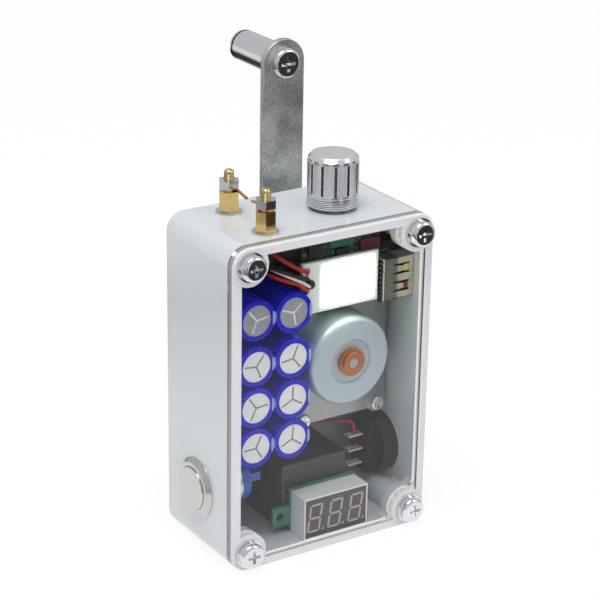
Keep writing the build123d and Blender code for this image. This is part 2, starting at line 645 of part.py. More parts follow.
# ---------------------------------------------------------------- rocker switch
def rocker_switch():
    outer = BOX_WIDTH / 2
    with BuildPart() as body:
        disc(facing_left(outer, SWITCH_Y, SWITCH_Z), SWITCH_RADIUS, WALL + SWITCH_ROUND_DEPTH)
        slab(facing_left(outer, SWITCH_Y, SWITCH_Z), SWITCH_BACK_WIDTH, SWITCH_BACK_HEIGHT,
             outer - SWITCH_INNER)
        disc(facing_right(outer, SWITCH_Y, SWITCH_Z), SWITCH_FLANGE_RADIUS, SWITCH_FLANGE)
        fillet(body.faces().sort_by(Axis.X)[-1].edges(), 0.7)
        slab(facing_left(outer + SWITCH_FLANGE, SWITCH_Y, SWITCH_Z), SWITCH_WINDOW_WIDTH,
             SWITCH_WINDOW_HEIGHT, SWITCH_FLANGE + SWITCH_WINDOW_DEPTH, mode=Mode.SUBTRACT)
        pivot_x = outer - 1.0
        disc(facing_back(SWITCH_Y - SWITCH_WINDOW_WIDTH / 2 - 1.5, pivot_x, SWITCH_Z),
             ROCKER_PIVOT_RADIUS + SHAFT_CLEARANCE, SWITCH_WINDOW_WIDTH + 3.0, mode=Mode.SUBTRACT)
    export(body.part, "switch_body")
    with BuildPart() as rocker:
        reach = SWITCH_WINDOW_HEIGHT / 2 - 0.75
        proud = SWITCH_FLANGE + 1.0 + ROCKER_PROUD
        across = facing_back(SWITCH_Y - SWITCH_WINDOW_WIDTH / 2 + SIDE_PLAY, pivot_x, SWITCH_Z)
        tilt = radians(ROCKER_ANGLE)
        with BuildSketch(Plane(origin=across.origin, x_dir=(-cos(tilt), 0, -sin(tilt)), z_dir=(0, 1, 0))):
            with BuildLine():
                ThreePointArc((-proud, -reach), (-proud + ROCKER_DISH, 0), (-proud, reach))
                Polyline((-proud, reach), (1.0, reach * 0.9), (3.0, 1.6), (3.0, -1.6), (1.0, -reach * 0.9),
                         (-proud, -reach))
            make_face()
        extrude(amount=SWITCH_WINDOW_WIDTH - 2 * SIDE_PLAY)
        disc(across.offset(-1.0), ROCKER_PIVOT_RADIUS, SWITCH_WINDOW_WIDTH - 2 * SIDE_PLAY + 2.0)
    export(rocker.part, "switch_rocker")
    with BuildPart() as terminals:
        for z in TERMINAL_ROWS:
            slab(facing_left(SWITCH_INNER, SWITCH_Y, z), TERMINAL_WIDTH, TERMINAL_THICKNESS,
                 TERMINAL_LENGTH)
            disc(facing_up(z - TERMINAL_THICKNESS, SWITCH_INNER - TERMINAL_LENGTH + 1.3, SWITCH_Y),
                 0.6, 2 * TERMINAL_THICKNESS, mode=Mode.SUBTRACT)
    export(terminals.part, "switch_terminals")


# ---------------------------------------------------------------- push button
def push_button():
    wall_outer = facing_left(BUTTON_OUTER, BUTTON_Y, BUTTON_Z)
    wall_inner = facing_right(BUTTON_OUTER + WALL, BUTTON_Y, BUTTON_Z)
    cap_top = BUTTON_BEZEL_HEIGHT + BUTTON_CAP_PROUD
    with BuildPart() as barrel:
        disc(wall_outer, BUTTON_BARREL_RADIUS, -BUTTON_BARREL_LENGTH)
        disc(wall_outer, BUTTON_BEZEL_RADIUS, BUTTON_BEZEL_HEIGHT)
        rim = barrel.edges().filter_by(GeomType.CIRCLE).sort_by(Axis.X)[0]
        chamfer(rim, BUTTON_BEZEL_HEIGHT - 0.3, BUTTON_BEZEL_RADIUS - BUTTON_BEZEL_TOP_RADIUS)
        disc(wall_outer.offset(BUTTON_BEZEL_HEIGHT), BUTTON_CAP_RADIUS + SLIDE_CLEARANCE,
             -BUTTON_BORE_DEPTH, mode=Mode.SUBTRACT)
    export(barrel.part, "button_barrel")
    with BuildPart() as cap:
        disc(wall_outer.offset(cap_top), BUTTON_CAP_RADIUS, -BUTTON_CAP_LENGTH)
        fillet(cap.edges().filter_by(GeomType.CIRCLE).sort_by(Axis.X)[0], 0.3)
        stem_end = BUTTON_BORE_DEPTH - BUTTON_BEZEL_HEIGHT - BUTTON_TRAVEL - SIDE_PLAY
        disc(wall_outer.offset(cap_top - BUTTON_CAP_LENGTH), BUTTON_STEM_RADIUS,
             -(stem_end + cap_top - BUTTON_CAP_LENGTH))
    export(cap.part, "button_cap")
    floor = BUTTON_OUTER + BUTTON_BORE_DEPTH - BUTTON_BEZEL_HEIGHT
    under_cap = BUTTON_OUTER - cap_top + BUTTON_CAP_LENGTH
    with BuildPart() as spring:
        rise = (floor - under_cap - 2 * BUTTON_SPRING_WIRE - 0.1)
        coil = Helix(pitch=rise / BUTTON_SPRING_TURNS, height=rise, radius=BUTTON_SPRING_RADIUS,
                     center=(under_cap + BUTTON_SPRING_WIRE + 0.05, BUTTON_Y, BUTTON_Z), direction=(1, 0, 0))
        with BuildSketch(Plane(origin=coil @ 0, z_dir=coil % 0)):
            RegularPolygon(radius=BUTTON_SPRING_WIRE, side_count=6)
        sweep(path=coil, is_frenet=True)
    export(spring.part, "button_spring")
    with BuildPart() as nut:
        hexagon(wall_inner, BUTTON_NUT_FLATS, BUTTON_NUT_HEIGHT, bore=BUTTON_BARREL_RADIUS)
    export(nut.part, "button_nut")
    base_end = BUTTON_BACK + BUTTON_BASE_THICKNESS
    with BuildPart() as base:
        seat = facing_right(BUTTON_BACK, BUTTON_Y, BUTTON_Z)
        disc(seat, BUTTON_BASE_RADIUS, BUTTON_BASE_THICKNESS)
        slab(facing_right(base_end, BUTTON_Y, BUTTON_Z + BUTTON_FIN_RISE), BUTTON_FIN_WIDTH,
             BUTTON_FIN_THICKNESS, BUTTON_FIN_LENGTH)
    export(base.part, "button_base")
    with BuildPart() as terminals:
        for side in (-1, 1):
            slab(facing_right(base_end, BUTTON_Y, BUTTON_Z + side * 3.6), 2.0, 0.5, 2.4)
    export(terminals.part, "button_terminals")


# ---------------------------------------------------------------- knob and potentiometer
def knob_and_potentiometer():
    knob_axis = Axis((KNOB_X, KNOB_Y, 0), (0, 0, 1))
    neck = KNOB_RADIUS - 0.5
    dome_edge = KNOB_RADIUS - 1.1
    dome_angle = degrees(asin(dome_edge / KNOB_DOME_RADIUS))
    dome_low = KNOB_HEIGHT - KNOB_DOME_RADIUS * (1 - cos(radians(dome_angle)))
    grooves_low = KNOB_BAND_HEIGHT + 0.9
    grooves_high = KNOB_HEIGHT - KNOB_CAP_HEIGHT
    ring_floor = KNOB_RADIUS - KNOB_RING_DEPTH
    rings = []
    for step in range(KNOB_RINGS):
        ring_low = 0.8 + step * KNOB_RING_PITCH
        rings += [(KNOB_RADIUS, ring_low), (ring_floor, ring_low + 0.1), (ring_floor, ring_low + 0.2),
                  (KNOB_RADIUS, ring_low + 0.3)]
    thread_room = BOX_HEIGHT + POT_THREAD_HEIGHT - KNOB_LOW + SIDE_PLAY
    with BuildPart() as knob:
        with BuildSketch(facing_front(KNOB_Y, KNOB_X, KNOB_LOW)):
            with BuildLine():
                CenterArc((0, KNOB_HEIGHT - KNOB_DOME_RADIUS), KNOB_DOME_RADIUS, 90 - dome_angle, dome_angle)
                Polyline((0, KNOB_HEIGHT), (0, 0), (neck, 0), (KNOB_RADIUS, 0.5), *rings,
                         (KNOB_RADIUS, KNOB_BAND_HEIGHT), (neck, KNOB_BAND_HEIGHT + 0.25),
                         (neck, KNOB_BAND_HEIGHT + 0.65), (KNOB_RADIUS, grooves_low),
                         (KNOB_RADIUS, grooves_high), (neck, grooves_high + 0.3), (neck, grooves_high + 0.7),
                         (KNOB_RADIUS - 0.15, grooves_high + 0.95), (dome_edge, dome_low))
            make_face()
        revolve(axis=knob_axis)
        with BuildSketch(facing_up(KNOB_LOW + grooves_low, KNOB_X, KNOB_Y)):
            with PolarLocations(KNOB_RADIUS, KNOB_GROOVES, start_angle=KNOB_GROOVE_START):
                Rectangle(2 * KNOB_GROOVE_DEPTH, KNOB_GROOVE_WIDTH)
        extrude(amount=grooves_high - grooves_low, mode=Mode.SUBTRACT)
        base = facing_up(KNOB_LOW, KNOB_X, KNOB_Y)
        disc(base, POT_SHAFT_RADIUS, KNOB_BORE_DEPTH, mode=Mode.SUBTRACT)
        disc(base, POT_THREAD_RADIUS + SIDE_PLAY, thread_room, mode=Mode.SUBTRACT)
        disc(base, KNOB_RECESS_RADIUS, POT_NUT_HEIGHT - KNOB_GAP + SIDE_PLAY, mode=Mode.SUBTRACT)
    export(knob.part, "control_knob")
    pot_low = WALL_TOP - POT_DEPTH
    with BuildPart() as pot:
        disc(facing_up(pot_low, KNOB_X, KNOB_Y), POT_RADIUS, POT_DEPTH)
        disc(facing_up(WALL_TOP, KNOB_X, KNOB_Y), POT_THREAD_RADIUS, WALL + POT_THREAD_HEIGHT)
        disc(facing_up(pot_low + 1.2, KNOB_X, KNOB_Y), POT_BORE_RADIUS + SHAFT_CLEARANCE,
             POT_DEPTH + WALL + POT_THREAD_HEIGHT, mode=Mode.SUBTRACT)
        for step in (-1, 0, 1):
            slab(facing_front(KNOB_Y + POT_RADIUS * 0.6, KNOB_X + step * 5.0, pot_low - 1.6), 1.4, 3.6, 0.5)
            slab(facing_front(KNOB_Y + POT_RADIUS * 0.6, KNOB_X + step * 5.0, pot_low + 0.2), 1.4, 0.6, 0.5)
    export(pot.part, "pot_body")
    with BuildPart() as nut:
        hexagon(facing_up(BOX_HEIGHT, KNOB_X, KNOB_Y), POT_NUT_FLATS, POT_NUT_HEIGHT, bore=POT_THREAD_RADIUS)
    export(nut.part, "pot_nut")
    with BuildPart() as shaft:
        low = pot_low + 1.2 + SIDE_PLAY
        shoulder = BOX_HEIGHT + POT_THREAD_HEIGHT + SIDE_PLAY
        disc(facing_up(low, KNOB_X, KNOB_Y), POT_BORE_RADIUS, shoulder - low)
        disc(facing_up(shoulder, KNOB_X, KNOB_Y), POT_SHAFT_RADIUS, KNOB_LOW + KNOB_BORE_DEPTH - shoulder)
    export(shaft.part, "pot_shaft")


# ---------------------------------------------------------------- gears
def involute(angle):
    return tan(angle) - angle


def gear_outline(teeth, first_tooth):
    """Points of an involute gear; first_tooth is the direction of one tooth's middle in degrees."""
    pitch_radius = GEAR_MODULE * teeth / 2
    base_radius = pitch_radius * cos(PRESSURE_ANGLE)
    tip_radius = pitch_radius + ADDENDUM * GEAR_MODULE
    root_radius = pitch_radius - DEDENDUM * GEAR_MODULE
    start = max(base_radius, root_radius)
    half_tooth = (pi * GEAR_MODULE / 2 - BACKLASH) / (2 * pitch_radius)
    flank = []
    for radius in (start, (start + tip_radius) / 2, tip_radius):
        lean = acos(min(1.0, base_radius / radius))
        flank.append((radius, half_tooth + involute(PRESSURE_ANGLE) - involute(lean)))
    if root_radius < base_radius:
        flank.insert(0, (root_radius, flank[0][1]))
    points = []
    for tooth in range(teeth):
        middle = radians(first_tooth) + 2 * pi * tooth / teeth
        for radius, angle in flank:
            points.append((radius * cos(middle - angle), radius * sin(middle - angle)))
        for radius, angle in reversed(flank):
            points.append((radius * cos(middle + angle), radius * sin(middle + angle)))
    return points


def gear(plane, teeth, width, first_tooth, bore):
    """Teeth and rim in the part being built; the plane's x is +X and its y is +Z."""
    with BuildSketch(plane) as outline:
        with BuildLine():
            Polyline(*gear_outline(teeth, first_tooth), close=True)
        make_face()
        Circle(bore, mode=Mode.SUBTRACT)
    extrude(outline.sketch, amount=width)


def wheel(front, centre_z, first_tooth, bore):
    """A wheel with a thinner web between rim and hub, and its teeth."""
    rear_face = front + WHEEL_WIDTH
    gear(facing_front(rear_face, DRIVE_X, centre_z), WHEEL_TEETH, WHEEL_WIDTH, first_tooth, bore)
    rim = GEAR_MODULE * WHEEL_TEETH / 2 - DEDENDUM * GEAR_MODULE - 1.0
    relief = (WHEEL_WIDTH - WEB_THICKNESS) / 2
    disc(facing_back(front, DRIVE_X, centre_z), rim, relief, bore=WHEEL_HUB_RADIUS + bore * 0.3,
         mode=Mode.SUBTRACT)
    disc(facing_front(rear_face, DRIVE_X, centre_z), rim, relief, bore=WHEEL_HUB_RADIUS + bore * 0.3,
         mode=Mode.SUBTRACT)


HALF_PITCH = 180 / PINION_TEETH


def gear_train():
    with BuildPart() as pinion:
        gear(facing_front(ROTOR_WHEEL_FRONT + PINION_WIDTH - 0.5, DRIVE_X, DRIVE_Z), PINION_TEETH, PINION_WIDTH,
             90 + HALF_PITCH, ROTOR_TAIL_RADIUS)
    export(pinion.part, "motor_pinion")
    with BuildPart() as lay_wheel:
        wheel(ROTOR_WHEEL_FRONT, LAYSHAFT_Z, 270, LAYSHAFT_RADIUS)
    export(lay_wheel.part, "layshaft_gear")
    output_front = OUTPUT_WHEEL_BACK - WHEEL_WIDTH
    with BuildPart() as layshaft:
        back = REAR_PLATE_BACK - SIDE_PLAY
        front = CAN_BACK + SIDE_PLAY
        disc(facing_front(back, DRIVE_X, LAYSHAFT_Z), LAYSHAFT_RADIUS, back - front)
        gear(facing_front(OUTPUT_WHEEL_BACK + 0.5, DRIVE_X, LAYSHAFT_Z), PINION_TEETH, PINION_WIDTH,
             270 + HALF_PITCH, LAYSHAFT_RADIUS * 0.5)
    export(layshaft.part, "layshaft")
    with BuildPart() as output:
        wheel(output_front, DRIVE_Z, 90, CRANK_SHAFT_RADIUS)
    export(output.part, "output_gear")


# ---------------------------------------------------------------- generator
def generator():
    front = facing_front(CAN_FRONT, DRIVE_X, DRIVE_Z)
    back = facing_front(CAN_BACK, DRIVE_X, DRIVE_Z)
    inner_front = CAN_FRONT + CAN_WALL + CAN_DISH_DEPTH
    inner = CAN_RADIUS - CAN_WALL
    with BuildPart() as can:
        disc(back, CAN_RADIUS, CAN_LENGTH)
        fillet(can.faces().sort_by(Axis.Y)[0].edges(), CAN_EDGE_RADIUS)
        with BuildSketch(front):
            Circle(CAN_DISH_RADIUS)
        extrude(amount=-CAN_DISH_DEPTH, taper=40, mode=Mode.SUBTRACT)
        disc(back, inner, CAN_BACK - inner_front, mode=Mode.SUBTRACT)
        disc(front, BUSHING_STEP_RADIUS - 0.6, -CAN_LENGTH, mode=Mode.SUBTRACT)
    export(can.part, "generator_can")
    dish = facing_front(CAN_FRONT + CAN_DISH_DEPTH, DRIVE_X, DRIVE_Z)
    with BuildPart() as bushing:
        disc(dish, BUSHING_RADIUS, CAN_DISH_DEPTH + BUSHING_HEIGHT * 0.5)
        disc(dish.offset(CAN_DISH_DEPTH + BUSHING_HEIGHT * 0.5), BUSHING_STEP_RADIUS, BUSHING_HEIGHT * 0.5)
        chamfer(bushing.edges().filter_by(GeomType.CIRCLE).group_by(Axis.Y)[0], 0.25)
        disc(dish, BUSHING_STEP_RADIUS - 0.6, -(CAN_WALL + 0.6))
        disc(dish.offset(BUSHING_HEIGHT + CAN_DISH_DEPTH), ROTOR_SHAFT_RADIUS + SHAFT_CLEARANCE,
             -(BUSHING_HEIGHT + CAN_DISH_DEPTH + CAN_WALL + 0.6), mode=Mode.SUBTRACT)
    export(bushing.part, "generator_bushing")
    magnet_room = CAN_BACK - BRUSH_PLATE_THICKNESS - inner_front
    with BuildPart() as magnets:
        disc(facing_back(inner_front, DRIVE_X, DRIVE_Z), inner, magnet_room, bore=inner - MAGNET_THICKNESS)
        slab(facing_back(inner_front, DRIVE_X, DRIVE_Z), 5.0, 2 * CAN_RADIUS, magnet_room, mode=Mode.SUBTRACT)
    export(magnets.part, "generator_magnets")
    with BuildPart() as brush_plate:
        disc(back, inner, BRUSH_PLATE_THICKNESS, bore=ROTOR_SHAFT_RADIUS + SIDE_PLAY)
    export(brush_plate.part, "brush_plate")
    armature_front = inner_front + 1.6
    armature_length = 2.8
    with BuildPart() as armature:
        disc(facing_back(armature_front, DRIVE_X, DRIVE_Z), ARMATURE_RADIUS, armature_length,
             bore=ROTOR_SHAFT_RADIUS)
        with BuildSketch(facing_back(armature_front, DRIVE_X, DRIVE_Z)):
            with PolarLocations(ARMATURE_RADIUS - 1.6, ARMATURE_SLOTS):
                Rectangle(4.6, 1.2)
        extrude(amount=armature_length, mode=Mode.SUBTRACT)
    export(armature.part, "armature")
    with BuildPart() as commutator:
        disc(facing_back(armature_front + armature_length, DRIVE_X, DRIVE_Z), COMMUTATOR_RADIUS, 1.4,
             bore=ROTOR_SHAFT_RADIUS)
    export(commutator.part, "commutator")
    with BuildPart() as shaft:
        tip = CAN_FRONT - BUSHING_HEIGHT + 0.1
        tail = CAN_BACK - 0.4
        disc(facing_front(tail, DRIVE_X, DRIVE_Z), ROTOR_SHAFT_RADIUS, tail - tip)
        end = ROTOR_WHEEL_FRONT + PINION_WIDTH - 0.5
        disc(facing_front(end, DRIVE_X, DRIVE_Z), ROTOR_TAIL_RADIUS, end - tail)
    export(shaft.part, "generator_shaft")


# ---------------------------------------------------------------- gearbox frame
def plate_outline(y):
    """A plate with an ear at each screw, waisted between the ears."""
    half_x = SCREW_SPACING_X / 2
    half_z = SCREW_SPACING_Z / 2
    with BuildSketch(facing_front(y, PLATE_CENTRE_X, DRIVE_Z)) as outline:
        Rectangle(SCREW_SPACING_X + 2 * PLATE_EAR_RADIUS - 0.1,
                  SCREW_SPACING_Z + 2 * PLATE_EAR_RADIUS - 2 * PLATE_WAIST - 0.1)
        with Locations(*[(sx * half_x, sz * half_z) for sx in (-1, 1) for sz in (-1, 1)]):
            Circle(PLATE_EAR_RADIUS)
            Rectangle(2 * PLATE_EAR_RADIUS - 0.1, PLATE_EAR_RADIUS)
        with Locations(*[(sx * half_x, sz * half_z) for sx in (-1, 1) for sz in (-1, 1)]):
            Circle(M25_SHANK + FIXED_CLEARANCE, mode=Mode.SUBTRACT)
    return outline.sketch


def gearbox_frame():
    with BuildPart() as front_plate:
        extrude(plate_outline(PLATE_BACK), amount=PLATE_THICKNESS)
        disc(facing_front(PLATE_BACK, DRIVE_X, DRIVE_Z), ROTOR_TAIL_RADIUS + SIDE_PLAY, PLATE_THICKNESS,
             mode=Mode.SUBTRACT)
        disc(facing_front(PLATE_BACK, DRIVE_X, LAYSHAFT_Z), LAYSHAFT_RADIUS + SHAFT_CLEARANCE,
             PLATE_THICKNESS, mode=Mode.SUBTRACT)
    export(front_plate.part, "gearbox_front_plate")
    with BuildPart() as rear_plate:
        extrude(plate_outline(REAR_PLATE_BACK), amount=PLATE_THICKNESS)
        disc(facing_front(REAR_PLATE_BACK, DRIVE_X, DRIVE_Z), CRANK_SHAFT_RADIUS + SHAFT_CLEARANCE,
             PLATE_THICKNESS, mode=Mode.SUBTRACT)
        disc(facing_front(REAR_PLATE_BACK, DRIVE_X, LAYSHAFT_Z), LAYSHAFT_RADIUS + SHAFT_CLEARANCE,
             PLATE_THICKNESS, mode=Mode.SUBTRACT)
    export(rear_plate.part, "gearbox_rear_plate")
    with BuildPart() as pillars:
        for x, z in PLATE_SCREWS:
            disc(facing_back(PLATE_BACK, x, z), PILLAR_TUBE_RADIUS, PLATE_SPACING, bore=M25_SHANK)
    export(pillars.part, "gearbox_pillars")
    with BuildPart() as spacers:
        for x, z in PLATE_SCREWS:
            disc(facing_back(REAR_PLATE_BACK, x, z), PILLAR_TUBE_RADIUS, WALL_BACK - REAR_PLATE_BACK,
                 bore=M25_SHANK + FIXED_CLEARANCE)
    export(spacers.part, "gearbox_spacers")
    screws = []
    for x, z in PLATE_SCREWS:
        with BuildPart() as front_screw:
            pan_screw(facing_front(CAN_BACK, x, z), M25_SHANK, M25_HEAD, M25_HEAD_HEIGHT,
                      PLATE_THICKNESS + GEARBOX_SCREW_REACH)
        with BuildPart() as rear_screw:
            pan_screw(facing_back(BOX_BACK, x, z), M25_SHANK, M25_HEAD, M25_HEAD_HEIGHT,
                      BOX_BACK - REAR_PLATE_FRONT + GEARBOX_SCREW_REACH)
        screws += [front_screw.part, rear_screw.part]
    export(Compound(screws), "gearbox_screws")


# ---------------------------------------------------------------- crank
def crank():
    with BuildPart() as bushing:
        disc(facing_back(WALL_BACK, DRIVE_X, DRIVE_Z), WALL_BUSHING_RADIUS, WALL)
        disc(facing_back(BOX_BACK, DRIVE_X, DRIVE_Z), WALL_BUSHING_FLANGE, WALL_BUSHING_FLANGE_THICKNESS)
        chamfer(bushing.edges().filter_by(GeomType.CIRCLE).group_by(Axis.Y)[-1], 0.3)
        disc(facing_back(WALL_BACK, DRIVE_X, DRIVE_Z), CRANK_SHAFT_RADIUS + SHAFT_CLEARANCE,
             WALL + WALL_BUSHING_FLANGE_THICKNESS, mode=Mode.SUBTRACT)
    export(bushing.part, "shaft_bushing")
    shaft_front = OUTPUT_WHEEL_BACK - WHEEL_WIDTH - 0.6
    shaft_back = ARM_BACK + CRANK_NUT_HEIGHT + 0.8
    hub_front = BOX_BACK + WALL_BUSHING_FLANGE_THICKNESS + SIDE_PLAY
    with BuildPart() as shaft:
        disc(facing_back(shaft_front, DRIVE_X, DRIVE_Z), CRANK_SHAFT_RADIUS, shaft_back - shaft_front)
        chamfer(shaft.edges().filter_by(GeomType.CIRCLE).group_by(Axis.Y)[-1], 0.5)
        disc(facing_back(hub_front, DRIVE_X, DRIVE_Z), CRANK_HUB_RADIUS, ARM_FRONT - hub_front)
    export(shaft.part, "crank_shaft")
    with BuildPart() as arm:
        with BuildSketch(facing_back(ARM_FRONT, DRIVE_X, DRIVE_Z + CRANK_RADIUS / 2)):
            SlotCenterToCenter(CRANK_RADIUS, ARM_WIDTH, rotation=90)
        extrude(amount=ARM_THICKNESS)
        fillet(arm.faces().filter_by(Axis.Y).edges(), 0.25)
        disc(facing_back(ARM_FRONT, DRIVE_X, DRIVE_Z), CRANK_SHAFT_RADIUS, ARM_THICKNESS, mode=Mode.SUBTRACT)
        disc(facing_back(ARM_FRONT, DRIVE_X, HANDLE_Z), HANDLE_AXLE_RADIUS, ARM_THICKNESS, mode=Mode.SUBTRACT)
    export(arm.part, "crank_arm")
    with BuildPart() as nut:
        hexagon(facing_back(ARM_BACK, DRIVE_X, DRIVE_Z), CRANK_NUT_FLATS, CRANK_NUT_HEIGHT,
                bore=CRANK_SHAFT_RADIUS)
    export(nut.part, "crank_nut")
    handle_back = HANDLE_FRONT + HANDLE_LENGTH
    with BuildPart() as axle:
        pan_screw(facing_front(ARM_FRONT, DRIVE_X, HANDLE_Z), HANDLE_AXLE_RADIUS, AXLE_HEAD_RADIUS,
                  AXLE_HEAD_HEIGHT, handle_back + SIDE_PLAY - ARM_FRONT)
        disc(facing_back(ARM_BACK, DRIVE_X, HANDLE_Z), HANDLE_COLLAR_RADIUS, HANDLE_COLLAR - SIDE_PLAY)
        disc(facing_back(handle_back + SIDE_PLAY, DRIVE_X, HANDLE_Z), AXLE_END_RADIUS, AXLE_END_HEIGHT)
        fillet(axle.faces().sort_by(Axis.Y)[-1].edges(), 0.6)
    export(axle.part, "handle_axle")
    with BuildPart() as sleeve:
        with BuildSketch(Plane(origin=(DRIVE_X, HANDLE_FRONT, HANDLE_Z), x_dir=(1, 0, 0), z_dir=(0, 0, 1))):
            with BuildLine():
                bore = HANDLE_AXLE_RADIUS + SHAFT_CLEARANCE
                neck = HANDLE_RADIUS - HANDLE_GROOVE
                tail = HANDLE_LENGTH
                Polyline((bore, 0), (HANDLE_RADIUS - 0.3, 0), (HANDLE_RADIUS, 0.3), (HANDLE_RADIUS, 1.2),
                         (neck, 1.3), (neck, 1.7), (HANDLE_RADIUS, 1.8), (HANDLE_RADIUS, tail - 1.9),
                         (neck, tail - 1.8), (neck, tail - 1.4), (HANDLE_RADIUS, tail - 1.3),
                         (HANDLE_RADIUS, tail - 0.4), (HANDLE_RADIUS - 0.4, tail), (bore, tail), (bore, 0))
            make_face()
        revolve(axis=Axis((DRIVE_X, 0, HANDLE_Z), (0, 1, 0)))
    export(sleeve.part, "handle_sleeve")


# ---------------------------------------------------------------- wires
def bend_radii(points):
    """As large a bend at each corner of the route as its two runs allow."""
    places = [Vector(*point) for point in points]
    radii = []
    for before, here, after in zip(places, places[1:], places[2:]):
        turn = radians((here - before).get_angle(after - here))
        shorter = min((here - before).length, (after - here).length)
        radii.append(0.45 * shorter / tan(turn / 2))
    return radii


def wire(points):
    """An insulated wire along its route in the part being built."""
    with BuildLine() as route:
        FilletPolyline(*points, radius=bend_radii(points))
    path = route.line
    with BuildSketch(Plane(origin=path @ 0, z_dir=path % 0)) as section:
        Circle(WIRE_RADIUS)
    sweep(section.sketch, path=path)


def wires():
    """Runs from the light over the capacitors, from the module to the switch and to the posts."""
    on_led = LED_FRONT - WIRE_RADIUS
    channel = (CAPACITOR_BACK + CAPACITOR_BOARD_THICKNESS + WALL_BACK) / 2
    solder_z = max(CAPACITOR_ROWS) + SLEEVE_RADIUS + 2.0
    post_screw = WALL_TOP - POST_SCREW_HEAD
    terminal = (SWITCH_INNER - TERMINAL_LENGTH + 2.6, SWITCH_Y, max(TERMINAL_ROWS) + TERMINAL_THICKNESS / 2)
    with BuildPart() as red:
        wire([(-5.6, on_led, 86.8), (-9.4, on_led, 88.4), (-13.0, -11.0, 91.0), (-16.0, -6.6, 93.2),
              (-18.0, 2.0, 92.0), (-17.6, 7.0, 86.4), (-17.4, 8.0, solder_z),
              (-17.4, CAPACITOR_BACK, solder_z)])
        wire([(-5.8, on_led, 80.9), (-8.8, on_led, 83.6), (-13.0, -12.2, 85.0), (-17.0, -8.0, 86.8),
              (-15.8, 2.0, 88.0), (-14.2, 7.0, 86.2), (-14.2, 8.0, solder_z),
              (-14.2, CAPACITOR_BACK, solder_z)])
        wire([(6.5, 10.5, MODULE_TOP), (6.5, 10.5, 26.4), (10.5, 8.5, 27.6), (15.5, 5.0, 28.2),
              (terminal[0], SWITCH_Y, 28.0), terminal])
        wire([(-4.5, 11.5, MODULE_TOP), (-4.5, 11.5, 26.0), (-8.0, channel, 30.0), (-8.6, channel, 84.0),
              (-14.0, 12.4, 90.0), (POST_X, POST_Y[0], 92.0), (POST_X, POST_Y[0], post_screw)])
    export(red.part, "red_wires")
    with BuildPart() as black:
        wire([(-5.6, on_led, 84.6), (-9.6, on_led, 85.9), (-14.0, -11.2, 88.0), (-19.4, -6.6, 89.6),
              (-21.2, 2.0, 88.6), (-20.8, 6.6, 85.6), (-20.6, 7.8, solder_z),
              (-20.6, CAPACITOR_BACK, solder_z)])
    export(black.part, "black_wire")
    with BuildPart() as white:
        wire([(-7.4, 8.8, MODULE_TOP), (-7.4, 8.8, 26.0), (-10.6, channel, 28.4), (-22.0, channel, 29.4),
              (-25.2, channel, 33.0), (-25.2, channel, 86.6), (-24.4, 7.0, 90.2), (-23.0, -3.0, 91.0),
              (POST_X, POST_Y[1], 92.2), (POST_X, POST_Y[1], post_screw)])
    export(white.part, "white_wire")


def main():
    enclosure_body()
    clear_lid()
    lid_gasket()
    lid_fasteners()
    spark_gap()
    spark_electrodes()
    capacitors()
    led_panel()
    usb_socket()
    voltmeter()
    boost_module()
    rocker_switch()
    push_button()
    knob_and_potentiometer()
    gear_train()
    generator()
    gearbox_frame()
    crank()
    wires()


main()
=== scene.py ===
"""Looks of the hand crank generator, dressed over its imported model."""
from functools import reduce
from math import cos, pi, radians, sin

import bmesh
import bpy
from bpy.props import FloatProperty, FloatVectorProperty, IntProperty, PointerProperty
from mathutils import Matrix, Vector


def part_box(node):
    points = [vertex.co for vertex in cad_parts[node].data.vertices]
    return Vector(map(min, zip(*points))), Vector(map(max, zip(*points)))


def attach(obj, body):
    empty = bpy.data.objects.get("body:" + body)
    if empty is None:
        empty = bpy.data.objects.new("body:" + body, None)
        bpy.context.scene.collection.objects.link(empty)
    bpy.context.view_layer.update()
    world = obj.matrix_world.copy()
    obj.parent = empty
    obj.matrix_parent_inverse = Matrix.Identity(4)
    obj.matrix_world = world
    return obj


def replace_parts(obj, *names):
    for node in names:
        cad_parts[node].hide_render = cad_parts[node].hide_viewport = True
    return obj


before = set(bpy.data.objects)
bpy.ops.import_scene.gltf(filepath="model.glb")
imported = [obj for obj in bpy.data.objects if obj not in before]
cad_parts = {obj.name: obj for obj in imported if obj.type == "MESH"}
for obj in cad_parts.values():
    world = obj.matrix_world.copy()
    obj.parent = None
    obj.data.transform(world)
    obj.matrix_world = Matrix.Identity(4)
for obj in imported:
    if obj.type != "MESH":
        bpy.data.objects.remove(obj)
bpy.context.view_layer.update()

bl_info = {
    "name": "Hand Crank Generator",
    "version": (1, 0, 0),
    "blender": (4, 5, 0),
    "location": "View3D > Sidebar > Generator",
    "description": "Finishes, small parts, stage and camera for a hand crank generator",
    "category": "Object",
}

MM = 0.001
BLACK, WHITE = (0.0, 0.0, 0.0), (1.0, 1.0, 1.0)
TO_FRONT = (0, -1, 0)

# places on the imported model, in metres
BOX_HALF_WIDTH, BOX_HALF_HEIGHT = 0.034, 0.050
LID_SCREW_ACROSS, LID_SCREW_UP = 0.0284, 0.0444
CAPACITOR_COLUMNS = (-0.0234, -0.01105)
CAPACITOR_ROWS = (0.0362, 0.0489, 0.0617, 0.0758)
KNOB_X, KNOB_Y = 0.010, -0.0015
KNOB_GROOVES = 12
GENERATOR_X, GENERATOR_Z = 0.0095, 0.056
HANDLE_GROOVES = (0.0288, 0.0467)


def srgb(red, green, blue):
    """Linear colour of a 0 to 255 screen colour."""
    def linear(value):
        share = value / 255
        return share / 12.92 if share <= 0.04045 else ((share + 0.055) / 1.055) ** 2.4
    return (linear(red), linear(green), linear(blue))


def shade(colour, factor):
    """The colour made darker or lighter."""
    return tuple(min(1.0, channel * factor) for channel in colour[:3])


